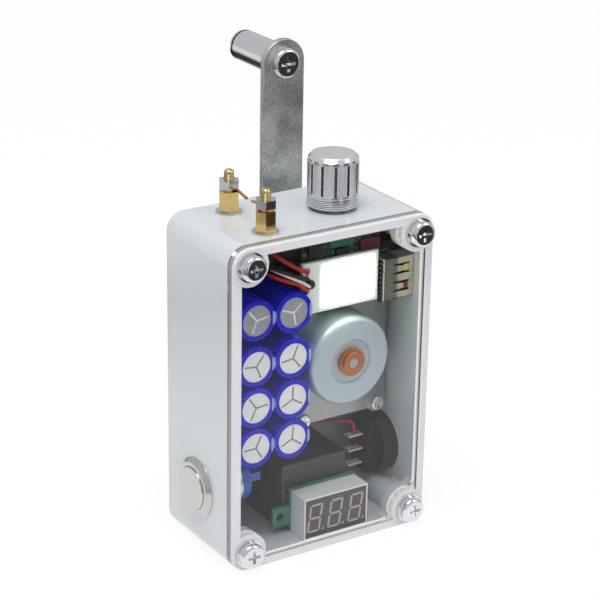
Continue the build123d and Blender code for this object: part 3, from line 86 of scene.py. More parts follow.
# ---------------------------------------------------------------- shader maths
class Value:
    """A socket in a node tree, usable in arithmetic."""

    def __init__(self, nodes, socket):
        self.nodes = nodes
        self.socket = socket

    def maths(self, operation, *values):
        """A Math node on those values, or on this one where none is given."""
        return self.nodes.node("ShaderNodeMath", {"operation": operation},
                               dict(enumerate(values or (self,))))

    def __add__(self, other):
        return self.maths("ADD", self, other)

    def __radd__(self, other):
        return self.maths("ADD", other, self)

    def __sub__(self, other):
        return self.maths("SUBTRACT", self, other)

    def __rsub__(self, other):
        return self.maths("SUBTRACT", other, self)

    def __mul__(self, other):
        return self.maths("MULTIPLY", self, other)

    def __rmul__(self, other):
        return self.maths("MULTIPLY", other, self)

    def __abs__(self):
        return self.maths("ABSOLUTE")

    def __gt__(self, other):
        return self.maths("GREATER_THAN", self, other)

    def __lt__(self, other):
        return self.maths("LESS_THAN", self, other)

    def smaller(self, other):
        return self.maths("MINIMUM", self, other)

    def larger(self, other):
        return self.maths("MAXIMUM", self, other)

    def wave(self, pitch):
        """A sine ridge pattern of that pitch, from 0 to 1."""
        return (self * (2 * pi / pitch)).maths("SINE") * 0.5 + 0.5


def distance(across, along):
    """Distance from the place where across and along are both 0."""
    return (across * across + along * along).maths("SQRT")


def bearing(across, along):
    """Angle about the same place, in radians."""
    return along.maths("ARCTAN2", along, across)


class Nodes:
    """A node tree, built node by node."""

    def __init__(self, tree):
        self.tree = tree
        self.tree.nodes.clear()

    def node(self, kind, settings=None, sockets=None, output=0):
        """Add a node: its settings first, then the values or links of its sockets."""
        made = self.tree.nodes.new(kind)
        for name, value in (settings or {}).items():
            setattr(made, name, value)
        for key, value in (sockets or {}).items():
            socket = made.inputs[key]
            if isinstance(value, Value):
                self.tree.links.new(value.socket, socket)
            elif socket.type == "RGBA" and len(value) == 3:
                socket.default_value = (*value, 1.0)
            else:
                socket.default_value = value
        return Value(self, made.outputs[output]) if len(made.outputs) else None

    def mixed(self, factor, first, second):
        """Two shaders, the second where factor is 1."""
        return self.node("ShaderNodeMixShader", sockets={0: factor, 1: first, 2: second})


class Finish(Nodes):
    """One material, in the object's own coordinates, in metres."""

    def __init__(self, name):
        self.material = bpy.data.materials.new(name)
        self.material.use_nodes = True
        super().__init__(self.material.node_tree)
        self.place = self.node("ShaderNodeTexCoord", output="Object")

    def axis(self, name):
        return self.node("ShaderNodeSeparateXYZ", sockets={0: self.place}, output=name)

    def stretched(self, stretch):
        return self.node("ShaderNodeVectorMath", {"operation": "MULTIPLY"},
                         {0: self.place, 1: stretch})

    def noise(self, size, detail=3.0, roughness=0.55, stretch=(1, 1, 1)):
        """Soft noise whose features are about size metres across."""
        return self.node("ShaderNodeTexNoise", sockets={
            "Vector": self.stretched(stretch), "Scale": 1 / size, "Detail": detail,
            "Roughness": roughness})

    def cells(self, size, stretch=(1, 1, 1)):
        """Distance from the nearest of many points that lie about size metres apart."""
        return self.node("ShaderNodeTexVoronoi", sockets={
            "Vector": self.stretched(stretch), "Scale": 1 / size})

    def spread(self, value, low, high, to_low=0.0, to_high=1.0):
        """value from low to high becomes a smooth step from to_low to to_high."""
        return self.node("ShaderNodeMapRange", {"interpolation_type": "SMOOTHSTEP"},
                         {0: value, 1: low, 2: high, 3: to_low, 4: to_high})

    def fade(self, value, low, high):
        """1 below low, and 0 above high."""
        return self.spread(value, low, high, 1.0, 0.0)

    def band(self, value, low, high, soft):
        """1 between low and high, with soft edges inside them."""
        return self.spread(value, low, low + soft) * self.fade(value, high - soft, high)

    def blend(self, factor, first, second):
        """Two colours, the second where factor is 1."""
        return self.node("ShaderNodeMix", {"data_type": "RGBA"},
                         {0: factor, 6: first, 7: second}, output=2)

    def shades(self, factor, colour, dark, light):
        """One colour, from its dark shade to its light one."""
        return self.blend(factor, shade(colour, dark), shade(colour, light))

    def bump(self, height, depth):
        return self.node("ShaderNodeBump", sockets={"Height": height, "Distance": depth})

    def principled(self, **sockets):
        names = {name.replace("_", " "): value for name, value in sockets.items()}
        return self.node("ShaderNodeBsdfPrincipled", sockets=names)

    def surface(self, shader):
        self.node("ShaderNodeOutputMaterial", sockets={"Surface": shader})
        return self.material


def moulded(name, colour, roughness=0.35, grain=0.0006, depth=0.00002, mottle=0.05, coat=0.0):
    """Moulded plastic: faint cloudy colour, fine surface texture and uneven gloss."""
    f = Finish(name)
    cloud = f.noise(0.012)
    fine = f.noise(grain, detail=2.0)
    base = f.shades(cloud, colour, 1 - mottle, 1 + mottle)
    rough = roughness * 0.8 + 0.4 * roughness * f.noise(0.02)
    return f.surface(f.principled(Base_Color=base, Roughness=rough, Coat_Weight=coat,
                                  Coat_Roughness=0.06, Normal=f.bump(fine, depth)))


def metal(name, colour, roughness=0.2, brush=None, mottle=0.06, stain=None):
    """Metal with brush marks along one axis, or fine turning marks when brush is None."""
    f = Finish(name)
    stretch = {"X": (0.03, 1, 1), "Y": (1, 0.03, 1), "Z": (1, 1, 0.03), None: (1, 1, 1)}[brush]
    marks = f.noise(0.00035, detail=4.0, stretch=stretch)
    cloud = f.noise(0.008)
    tone = 0.5 * marks + 0.5 * cloud
    base = f.shades(tone, colour, 1 - 2 * mottle, 1 + mottle)
    if stain:
        base = f.blend(f.spread(cloud, 0.5, 0.75), base, stain)
    rough = roughness * 0.7 + 0.6 * roughness * tone
    return f.surface(f.principled(Base_Color=base, Metallic=1.0, Roughness=rough,
                                  Normal=f.bump(marks, 0.000004)))


# ---------------------------------------------------------------- pieces
def dress(material, *nodes):
    """Give CAD nodes their finish."""
    for node in nodes:
        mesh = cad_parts[node].data
        mesh.materials.clear()
        mesh.materials.append(material)


def add_piece(name, shape, material, body, smooth=False):
    """Turn a bmesh in metres into an object that moves with a body."""
    mesh = bpy.data.meshes.new(name)
    bmesh.ops.recalc_face_normals(shape, faces=shape.faces)
    shape.to_mesh(mesh)
    shape.free()
    mesh.materials.append(material)
    if smooth:
        mesh.shade_smooth()
        mesh.set_sharp_from_angle(angle=radians(35))
    piece = bpy.data.objects.new(name, mesh)
    bpy.context.scene.collection.objects.link(piece)
    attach(piece, body)
    return piece


def block(shape, low, high, edge=0.0):
    """A box between two corners in mm, its edges rounded off."""
    low, high = Vector(low), Vector(high)
    size = high - low
    place = Matrix.Translation((low + high) / 2 * MM) @ Matrix.Diagonal((*(size * MM), 1))
    made = bmesh.ops.create_cube(shape, size=1.0, matrix=place)
    if edge:
        sides = list({side for vert in made["verts"] for side in vert.link_edges})
        bmesh.ops.bevel(shape, geom=sides, offset=edge * MM, segments=2, profile=0.5,
                        affect="EDGES")


def add_blocks(name, boxes, material, edge=0.0):
    """A piece on the case made of boxes, each given by two corners in mm."""
    shape = bmesh.new()
    for low, high in boxes:
        block(shape, low, high, edge)
    return add_piece(name, shape, material, "case")


def lathe(shape, profile, centre, axis, steps=40):
    """Turn a profile of (radius, height) in mm about an axis through centre."""
    axis = Vector(axis).normalized()
    side = axis.orthogonal().normalized()
    across = axis.cross(side)
    centre = Vector(centre)
    rings = []
    for radius, height in profile:
        ring = []
        for step in range(steps):
            angle = 2 * pi * step / steps
            point = centre + axis * height + (side * cos(angle) + across * sin(angle)) * radius
            ring.append(shape.verts.new(point * MM))
        rings.append(ring)
    for lower, upper in zip(rings, rings[1:]):
        for step in range(steps):
            following = (step + 1) % steps
            shape.faces.new((lower[step], lower[following], upper[following], upper[step]))
    shape.faces.new(rings[0])
    shape.faces.new(rings[-1])


def plate(shape, outline, low_y, high_y):
    """A flat piece across the box: outline points (x, z) in mm between two depths."""
    front = [shape.verts.new((x * MM, low_y * MM, z * MM)) for x, z in outline]
    back = [shape.verts.new((x * MM, high_y * MM, z * MM)) for x, z in outline]
    shape.faces.new(front)
    shape.faces.new(reversed(back))
    count = len(outline)
    for step in range(count):
        following = (step + 1) % count
        shape.faces.new((front[step], front[following], back[following], back[step]))


def add_wire(name, points, radius, material, body):
    """A round wire through points in mm."""
    curve = bpy.data.curves.new(name, "CURVE")
    curve.dimensions = "3D"
    curve.bevel_depth = radius * MM
    curve.bevel_resolution = 4
    curve.use_fill_caps = True
    spline = curve.splines.new("NURBS")
    spline.points.add(len(points) - 1)
    for point, place in zip(spline.points, points):
        point.co = (*(Vector(place) * MM), 1.0)
    spline.order_u = 3
    spline.use_endpoint_u = True
    curve.materials.append(material)
    piece = bpy.data.objects.new(name, curve)
    bpy.context.scene.collection.objects.link(piece)
    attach(piece, body)
    return piece


def solder(shape, place, radius, height):
    """A small solder fillet standing on the front of a board, in mm."""
    lathe(shape, [(radius, 0.0), (radius * 0.94, height * 0.22), (radius * 0.6, height * 0.55),
                  (radius * 0.38, height * 0.85), (radius * 0.16, height)],
          place, TO_FRONT, steps=16)


def span(node):
    """Lowest and highest corners of a CAD node, in mm."""
    low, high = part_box(node)
    return low / MM, high / MM


# ---------------------------------------------------------------- settings
def colour_property(name, description, default):
    """A colour that a user may change."""
    return FloatVectorProperty(name=name, description=description, default=default,
                               subtype="COLOR", size=3, min=0.0, max=1.0)


def length_property(name, description, default):
    """A length in metres that a user may change."""
    return FloatProperty(name=name, description=description, default=default, unit="LENGTH",
                         subtype="DISTANCE", min=0.0, precision=5)


class CaseSettings(bpy.types.PropertyGroup):
    shell: colour_property("Shell", "Colour of the moulded box", srgb(204, 209, 212))
    lid_edge: colour_property("Lid edge", "Colour seen in the thick edge of the clear lid",
                              srgb(150, 147, 138))
    gasket: colour_property("Seal", "Colour of the sealing cord", srgb(206, 203, 192))


class ElectricsSettings(bpy.types.PropertyGroup):
    sleeve: colour_property("Sleeve", "Colour of the capacitor sleeves", srgb(16, 22, 190))
    stripe: colour_property("Stripe", "Colour of the stripe on the sleeves", srgb(150, 158, 214))
    glow: colour_property("Glow", "Colour of the lit lamp field", (0.83, 1.0, 0.80))
    glow_strength: FloatProperty(name="Glow strength", default=5.0, min=0.0,
                                 description="Brightness of the lit lamp field")
    digits: IntProperty(name="Digits", description="Digits on the voltmeter", default=3,
                        min=1, max=4)
    digit_height: length_property("Digit height", "Height of the digits on the voltmeter", 0.00914)
    segment: colour_property("Segment", "Colour of an unlit segment", srgb(170, 158, 158))
    button: colour_property("Button block", "Colour of the push button's contact block",
                            srgb(28, 84, 176))


class MetalSettings(bpy.types.PropertyGroup):
    brass: colour_property("Brass", "Colour of the spark posts", (0.80, 0.58, 0.24))
    copper: colour_property("Copper", "Colour of the spark wires", (0.92, 0.48, 0.28))
    steel: colour_property("Steel", "Colour of the plates and the crank arm", (0.43, 0.44, 0.43))
    knob: colour_property("Knob", "Colour of the knob and the handle", (0.80, 0.81, 0.83))


class StageSettings(bpy.types.PropertyGroup):
    distance: length_property("Camera distance", "From the camera to the middle of the object",
                              0.6083)
    light: FloatProperty(name="Light", description="Strength of the room's soft light",
                         default=0.60, min=0.0)
    floor: colour_property("Floor", "Colour of the floor", (0.93, 0.93, 0.93))


# ---------------------------------------------------------------- finishes of one piece each
def clear_cover_finish(edge_colour):
    """Clear sheet with glossy faces, over a pale border that runs round the screws; the hidden
    faces behind its lip get a painted glow.
    """
    border_width, screw_pad_radius = 0.0029, 0.0060
    # each pair is the start and end of a soft step: along Y, and then in from the lid's edge
    lip_depth, joint_depth = (-0.0186, -0.0181), (-0.0170, -0.0166)
    hidden_depth, lip_width = (-0.0174, -0.0171), (0.0010, 0.0014)
    f = Finish("clear_cover")
    x, y, z = f.axis("X"), f.axis("Y"), f.axis("Z")
    across, up = abs(x), abs(z - BOX_HALF_HEIGHT)
    inset = (BOX_HALF_WIDTH - across).smaller(BOX_HALF_HEIGHT - up)
    to_screw = distance(across - LID_SCREW_ACROSS, up - LID_SCREW_UP)
    border = (inset - border_width).smaller(to_screw - screw_pad_radius)
    pale = f.fade(border, -0.00015, 0.00015)
    seal_line = f.fade(abs(border + 0.0005), 0.0001, 0.0004)
    scuff = f.noise(0.004, detail=5.0)
    bare = f.node("ShaderNodeBsdfTransparent", sockets={"Color": (0.98, 0.985, 0.98)})
    gloss = f.node("ShaderNodeBsdfGlossy", sockets={"Color": WHITE, "Roughness": 0.03})
    outward = 1 - f.node("ShaderNodeNewGeometry", output="Backfacing")
    fresnel = f.node("ShaderNodeFresnel", sockets={"IOR": 1.5})
    sheet = f.mixed(fresnel * outward, bare, gloss)
    wall = f.blend(f.spread(y, *joint_depth), edge_colour, shade(edge_colour, 0.55))
    front = f.blend(seal_line, srgb(219, 222, 224), srgb(230, 227, 216))
    outer = f.spread(y, *lip_depth) * f.fade(inset, *lip_width)
    # painted light: the faces behind the lip, against the box, which no light reaches, glow pale
    # grey instead of showing black
    painted_glow_on_hidden_faces = f.spread(y, *hidden_depth) * f.spread(inset, *lip_width)
    rim = f.principled(Base_Color=f.blend(outer, front, wall), Roughness=0.10 + 0.1 * scuff,
                       Emission_Color=f.blend(painted_glow_on_hidden_faces, BLACK, (0.42, 0.43, 0.42)),
                       Emission_Strength=1.0)
    return f.surface(f.mixed(pale * 0.93, sheet, rim))


def can_end_finish():
    """Drawn aluminium with brush marks, painted as lit and shaded copies of one can: near white on
    the lower cans with painted shade in their scores, darker on the upper ones with a painted
    highlight in their scores.
    """
    upper_row, score_depth = (0.066, 0.070), (-0.01448, -0.01442)
    f = Finish("can_end")
    y, z = f.axis("Y"), f.axis("Z")
    marks = f.noise(0.0004, detail=5.0, roughness=0.7, stretch=(0.25, 1, 1))
    patch = f.noise(0.0016)
    upper = f.spread(z, *upper_row)
    score = f.spread(y, *score_depth)
    # lower cans: painted light, near white, with painted shade in the scores
    light = f.blend(marks, srgb(206, 206, 208), srgb(238, 236, 232))
    light = f.blend(score * 0.6, light, srgb(104, 100, 98))
    # upper cans: painted shade, darker and patchy, with a painted highlight in the scores
    dark = f.blend(marks * 0.6 + patch * 0.4, srgb(112, 112, 118), srgb(196, 198, 204))
    dark = f.blend(score, dark, srgb(246, 246, 248))
    return f.surface(f.principled(Base_Color=f.blend(upper, light, dark), Metallic=0.35 * upper,
                                  Roughness=0.34 + 0.15 * marks, Specular_IOR_Level=0.25,
                                  Normal=f.bump(marks, 0.00002)))


def sleeve_finish(colour, stripe_colour):
    """Shrink sleeve with a pale stripe along its right side and dashes down the stripe."""
    stripe_inner, stripe_outer, stripe_slope = 0.0052, 0.0064, 0.36
    dash_width, dash_pitch = 0.0006, 0.006
    f = Finish("shrink_sleeve")
    x, y, z = f.axis("X"), f.axis("Y"), f.axis("Z")
    off_row = reduce(Value.smaller, [abs(z - row) for row in CAPACITOR_ROWS])
    stripe = reduce(Value.larger, [
        (off_row < across * stripe_slope) * (across > stripe_inner) * (across < stripe_outer)
        for across in [x - column for column in CAPACITOR_COLUMNS]])
    dash = (off_row < dash_width) * (y.wave(dash_pitch) > 0.62)
    wrinkle = f.noise(0.0025, stretch=(1, 0.3, 1))
    base = f.shades(f.noise(0.01), colour, 0.8, 1.15)
    base = f.blend(stripe, base, stripe_colour)
    base = f.blend(stripe * dash, base, colour)
    return f.surface(f.principled(Base_Color=base, Roughness=0.2 + 0.14 * wrinkle,
                                  Specular_IOR_Level=0.22, Normal=f.bump(wrinkle, 0.00004)))


def board_finish(name, mask_colour, track_colour, speckle=None):
    """Solder mask over copper tracks, with vias and faint glass weave."""
    weave_pitch, via_spacing = 0.0007, 0.0028
    f = Finish(name)
    track = f.spread(f.cells(0.004, stretch=(1, 1, 2.2)).wave(0.22), 0.72, 0.80)
    weave = f.axis("X").wave(weave_pitch) * f.axis("Z").wave(weave_pitch)
    via = f.fade(f.cells(via_spacing), 0.10, 0.13)
    base = f.blend(track, mask_colour, track_colour)
    base = f.blend(via * 0.8, base, srgb(190, 184, 160))
    if speckle:
        spots = f.spread(f.noise(0.0018, detail=6.0, roughness=0.78), 0.50, 0.68)
        base = f.blend(spots * 0.7, base, speckle)
    return f.surface(f.principled(Base_Color=base, Roughness=0.28 + 0.14 * weave,
                                  Normal=f.bump(track + 0.3 * weave, 0.00003)))


def lamp_finish(glow, strength):
    """Lit phosphor over rows of small chips."""
    chip_width, chip_height = 0.0022, 0.0025
    f = Finish("lamp_field")
    chips = f.axis("X").wave(chip_width) * f.axis("Z").wave(chip_height)
    cloud = f.noise(0.005)
    lit = f.blend(chips * 0.35, glow, (1.0, 1.0, 0.92))
    lit = f.blend(cloud * 0.2, lit, shade(glow, 0.85))
    return f.surface(f.principled(Base_Color=f.blend(chips, (0.85, 0.9, 0.55), (0.9, 0.92, 0.75)),
                                  Roughness=0.3 + 0.1 * cloud, Emission_Color=lit,
                                  Emission_Strength=strength, Normal=f.bump(chips, 0.00004)))


def lamp_board_finish(glow):
    """White board that lights up close round the field."""
    halo_width, field_depth = 0.0013, 0.0009
    f = Finish("white_board")
    x, y, z = f.axis("X"), f.axis("Y"), f.axis("Z")
    low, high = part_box("led_array")
    beside = (low.x - x).larger(x - high.x).larger(0.0)
    above = (low.z - z).larger(z - high.z).larger(0.0)
    halo = f.fade(distance(beside, above), 0.0, halo_width) * (y < low.y + field_depth)
    speck = f.spread(f.noise(0.0009, detail=4.0), 0.60, 0.68)
    cloud = f.noise(0.006)
    base = f.blend(cloud, srgb(204, 210, 206), srgb(224, 228, 224))
    base = f.blend(speck * 0.4, base, srgb(120, 122, 118))
    return f.surface(f.principled(Base_Color=base, Roughness=0.30 + 0.12 * cloud,
                                  Emission_Color=f.blend(halo, BLACK, glow),
                                  Emission_Strength=0.7, Normal=f.bump(speck, 0.00003)))


def knob_finish(colour):
    """Polished aluminium: turned panels with painted shade in the groove floors between them and
    painted highlights on their edges, fine rings below with painted shade in their floors, a spun
    cap.
    """
    groove_floor, groove_pitch, first_groove = 0.0073, 2 * pi / KNOB_GROOVES, radians(2.6)
    panel_bottom, panel_top, turning_pitch = 0.1051, 0.1144, 0.00042
    ring_top, ring_floor, cap_edge = (0.1043, 0.1045), (0.00738, 0.00746), (0.1160, 0.1163)
    f = Finish("knob_metal")
    x, y, z = f.axis("X"), f.axis("Y"), f.axis("Z")
    radius = distance(x - KNOB_X, y - KNOB_Y)
    angle = bearing(x - KNOB_X, y - KNOB_Y)
    near_groove = (angle - first_groove + groove_pitch / 4).wave(groove_pitch)
    panel = f.band(z, panel_bottom, panel_top, soft=0.0002)
    # painted shade in the groove floors, and a painted highlight on the panel edges beside them
    groove = panel * f.fade(radius, groove_floor - 0.0003, groove_floor)
    painted_edge_highlight = panel * f.spread(near_groove, 0.76, 0.82) * (radius > groove_floor)
    turned = z.wave(turning_pitch)
    marks = f.noise(0.0004, detail=4.0, stretch=(1, 1, 4))
    # painted shade in the floors of the fine rings
    ring = f.fade(z, *ring_top) * f.fade(radius, *ring_floor)
    cap = f.spread(z, *cap_edge)
    base = f.shades(marks, colour, 0.84, 1.08)
    base = f.blend(panel * turned * 0.5, base, shade(colour, 0.42))
    # the painted highlight on the groove edges, then the painted shade in the groove and ring
    # floors
    base = f.blend(painted_edge_highlight, base, (0.97, 0.97, 0.98))
    base = f.blend(groove.larger(ring * 0.8), base, shade(colour, 0.14))
    return f.surface(f.principled(Base_Color=base, Metallic=0.92,
                                  Roughness=0.14 + 0.06 * marks + 0.16 * cap + 0.10 * panel,
                                  Normal=f.bump(turned * panel + 0.3 * marks, 0.00005)))


def arm_finish(colour):
    """Stamped strip with a scratched, faintly mottled face."""
    f = Finish("arm_steel")
    grain = f.noise(0.00045, detail=5.0, roughness=0.75, stretch=(1, 1, 0.35))
    smudge = f.noise(0.009, detail=4.0)
    tone = f.spread(0.6 * grain + 0.4 * smudge, 0.38, 0.62)
    return f.surface(f.principled(Base_Color=f.shades(tone, colour, 0.8, 1.6), Metallic=0.9,
                                  Roughness=0.28 + 0.18 * smudge, Normal=f.bump(grain, 0.00003)))


def handle_finish(colour):
    """Polished sleeve with painted shade in the groove near each end."""
    groove_edge = (0.0003, 0.0005)
    f = Finish("handle_metal")
    y = f.axis("Y")
    marks = f.noise(0.0005, detail=4.0, stretch=(1, 5, 1))
    # painted shade: the groove near each end is drawn near black
    painted_groove_shade = reduce(Value.larger, [f.fade(abs(y - groove), *groove_edge)
                                    for groove in HANDLE_GROOVES])
    base = f.shades(marks, colour, 0.82, 1.08)
    base = f.blend(painted_groove_shade, base, shade(colour, 0.06))
    return f.surface(f.principled(Base_Color=base, Metallic=1.0, Roughness=0.10 + 0.08 * marks,
                                  Normal=f.bump(marks, 0.000006)))


def socket_finish(low_x):
    """Folded steel: dull and mottled towards the solder end, creamy at the mouth."""
    dull_end, mouth_start = low_x + 0.0046, low_x + 0.0062
    f = Finish("socket_steel")
    x = f.axis("X")
    brushed = f.noise(0.00035, detail=5.0, roughness=0.75, stretch=(1, 1, 0.5))
    patch = f.noise(0.0016, detail=4.0)
    mouth = f.spread(x + 0.0016 * patch, dull_end, mouth_start)
    dull = f.blend(f.spread(brushed, 0.36, 0.66), srgb(100, 96, 88), srgb(156, 150, 138))
    cream = f.blend(brushed, srgb(196, 190, 166), srgb(222, 216, 196))
    return f.surface(f.principled(Base_Color=f.blend(mouth, dull, cream), Metallic=0.45,
                                  Roughness=0.30 + 0.1 * brushed, Normal=f.bump(brushed, 0.00002)))


def post_finish(colour):
    """Polished brass, with a cut thread on the stud above the nut, drawn with a bump and painted
    shade along it.
    """
    thread_pitch, thread_bottom, thread_top = 0.0005, 0.1092, 0.1120
    f = Finish("post_brass")
    z = f.axis("Z")
    thread = z.wave(thread_pitch) * f.band(z, thread_bottom, thread_top, soft=0.0004)
    marks = f.noise(0.0005, detail=4.0, stretch=(1, 1, 0.2))
    base = f.shades(marks, colour, 0.84, 1.08)
    # painted shade: dark lines along the thread
    base = f.blend(thread * 0.6, base, shade(colour, 0.3))
    return f.surface(f.principled(Base_Color=base, Metallic=1.0, Roughness=0.12 + 0.1 * marks,
                                  Normal=f.bump(thread + 0.05 * marks, 0.00008)))


def can_finish(colour):
    """Satin zinc on a drawn can: soft cloudy gloss and faint turning rings."""
    ring_pitch, boss_edge = 0.0009, (0.0045, 0.0085)
    f = Finish("motor_can")
    radius = distance(f.axis("X") - GENERATOR_X, f.axis("Z") - GENERATOR_Z)
    rings = radius.wave(ring_pitch)
    cloud = f.noise(0.007, detail=4.0)
    centre = f.spread(radius, *boss_edge)
    base = f.blend(centre, shade(colour, 0.92), colour)
    base = f.blend(cloud * 0.6, base, shade(colour, 0.9))
    return f.surface(f.principled(Base_Color=base, Metallic=0.45, Roughness=0.30 + 0.12 * cloud,
                                  Normal=f.bump(0.3 * rings + cloud, 0.000008)))


# ---------------------------------------------------------------- operators
class GENERATOR_OT_case(bpy.types.Operator):
    """Finish the moulded box, the clear cover and its seal"""
    bl_idname = "generator.case"
    bl_label = "Box and cover"

    def execute(self, context):
        case = context.scene.generator_case
        dress(moulded("case_abs", case.shell, roughness=0.16, grain=0.0011, depth=0.000008,
                      mottle=0.012, coat=0.25), "enclosure_body")
        dress(clear_cover_finish(case.lid_edge), "clear_lid")
        dress(moulded("gasket_rubber", case.gasket, roughness=0.5, grain=0.0004), "lid_gasket")
        return {"FINISHED"}


class GENERATOR_OT_fasteners(bpy.types.Operator):
    """Finish the screws, washers and nuts"""
    bl_idname = "generator.fasteners"
    bl_label = "Screws and washers"

    def execute(self, context):
        bright = metal("bright_plating", srgb(226, 228, 232), roughness=0.06, mottle=0.03)
        dress(bright, "lid_screws", "lid_washers", "gearbox_screws", "spark_post_screws",
              "handle_axle")
        nickel = metal("nickel_plating", srgb(198, 202, 208), roughness=0.16, mottle=0.05)
        dress(nickel, "spark_washers", "spark_nuts", "pot_nut", "crank_nut")
        soft = metal("turned_steel", srgb(206, 205, 200), roughness=0.22, mottle=0.05)
        dress(soft, "button_barrel", "button_nut", "button_cap", "pot_body")
        return {"FINISHED"}


class GENERATOR_OT_spark_gap(bpy.types.Operator):
    """Finish the spark posts and their copper wires"""
    bl_idname = "generator.spark_gap"
    bl_label = "Spark posts"

    def execute(self, context):
        metals = context.scene.generator_metals
        dress(post_finish(metals.brass), "spark_posts")
        for node in ("spark_nuts", "spark_posts"):
            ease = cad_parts[node].modifiers.new("corners", "BEVEL")
            ease.width = 0.00018
            ease.segments = 2
            ease.limit_method = "ANGLE"
            ease.angle_limit = radians(40)
        dress(metal("bare_copper", metals.copper, roughness=0.2, brush="Y", mottle=0.08,
                    stain=srgb(120, 60, 40)), "spark_electrodes", "commutator")
        return {"FINISHED"}


class GENERATOR_OT_capacitors(bpy.types.Operator):
    """Finish the capacitor cans, sleeves and their board"""
    bl_idname = "generator.capacitors"
    bl_label = "Capacitors"

    def execute(self, context):
        electrics = context.scene.generator_electrics
        dress(can_end_finish(), "capacitor_cans")
        dress(sleeve_finish(electrics.sleeve, electrics.stripe), "capacitor_sleeves")
        dress(board_finish("dark_board", srgb(44, 48, 48), srgb(60, 64, 62)), "capacitor_board",
              "brush_plate")
        return {"FINISHED"}


class GENERATOR_OT_lamp(bpy.types.Operator):
    """Finish the lamp board and add its pads and small parts"""
    bl_idname = "generator.lamp"
    bl_label = "Lamp"

    def execute(self, context):
        electrics = context.scene.generator_electrics
        dress(lamp_board_finish(electrics.glow), "led_board")
        dress(lamp_finish(electrics.glow, electrics.glow_strength), "led_array")
        front = span("led_board")[0].y
        joints = bmesh.new()
        for x, z in ((-5.6, 86.8), (-5.6, 84.6), (-5.8, 80.9)):
            solder(joints, (x, front, z), radius=1.15, height=1.0)
        add_piece("lamp_solder", joints,
                  metal("solder", srgb(206, 206, 200), roughness=0.24, mottle=0.1),
                  "case", smooth=True)
        cap = bmesh.new()
        lathe(cap, [(1.4, 0.0), (1.4, 0.8), (1.2, 1.15), (0.7, 1.35), (0.2, 1.4)],
              (-4.9, front, 82.8), TO_FRONT, steps=28)
        add_piece("lamp_sensor", cap,
                  moulded("black_component", srgb(28, 28, 30), roughness=0.3, grain=0.0003),
                  "case", smooth=True)
        add_wire("lamp_white_wire",
                 [(-5.4, -14.0, 82.4), (-8.6, -14.2, 84.6), (-12.4, -12.6, 86.4),
                  (-16.2, -7.6, 88.4), (-19.4, 1.0, 88.6), (-18.9, 7.2, 86.6),
                  (-18.9, 8.6, 84.2), (-18.9, 10.5, 84.0)], 0.45,
                 moulded("lamp_wire_white", srgb(214, 210, 196), roughness=0.4, grain=0.0008),
                 "case")
        return {"FINISHED"}


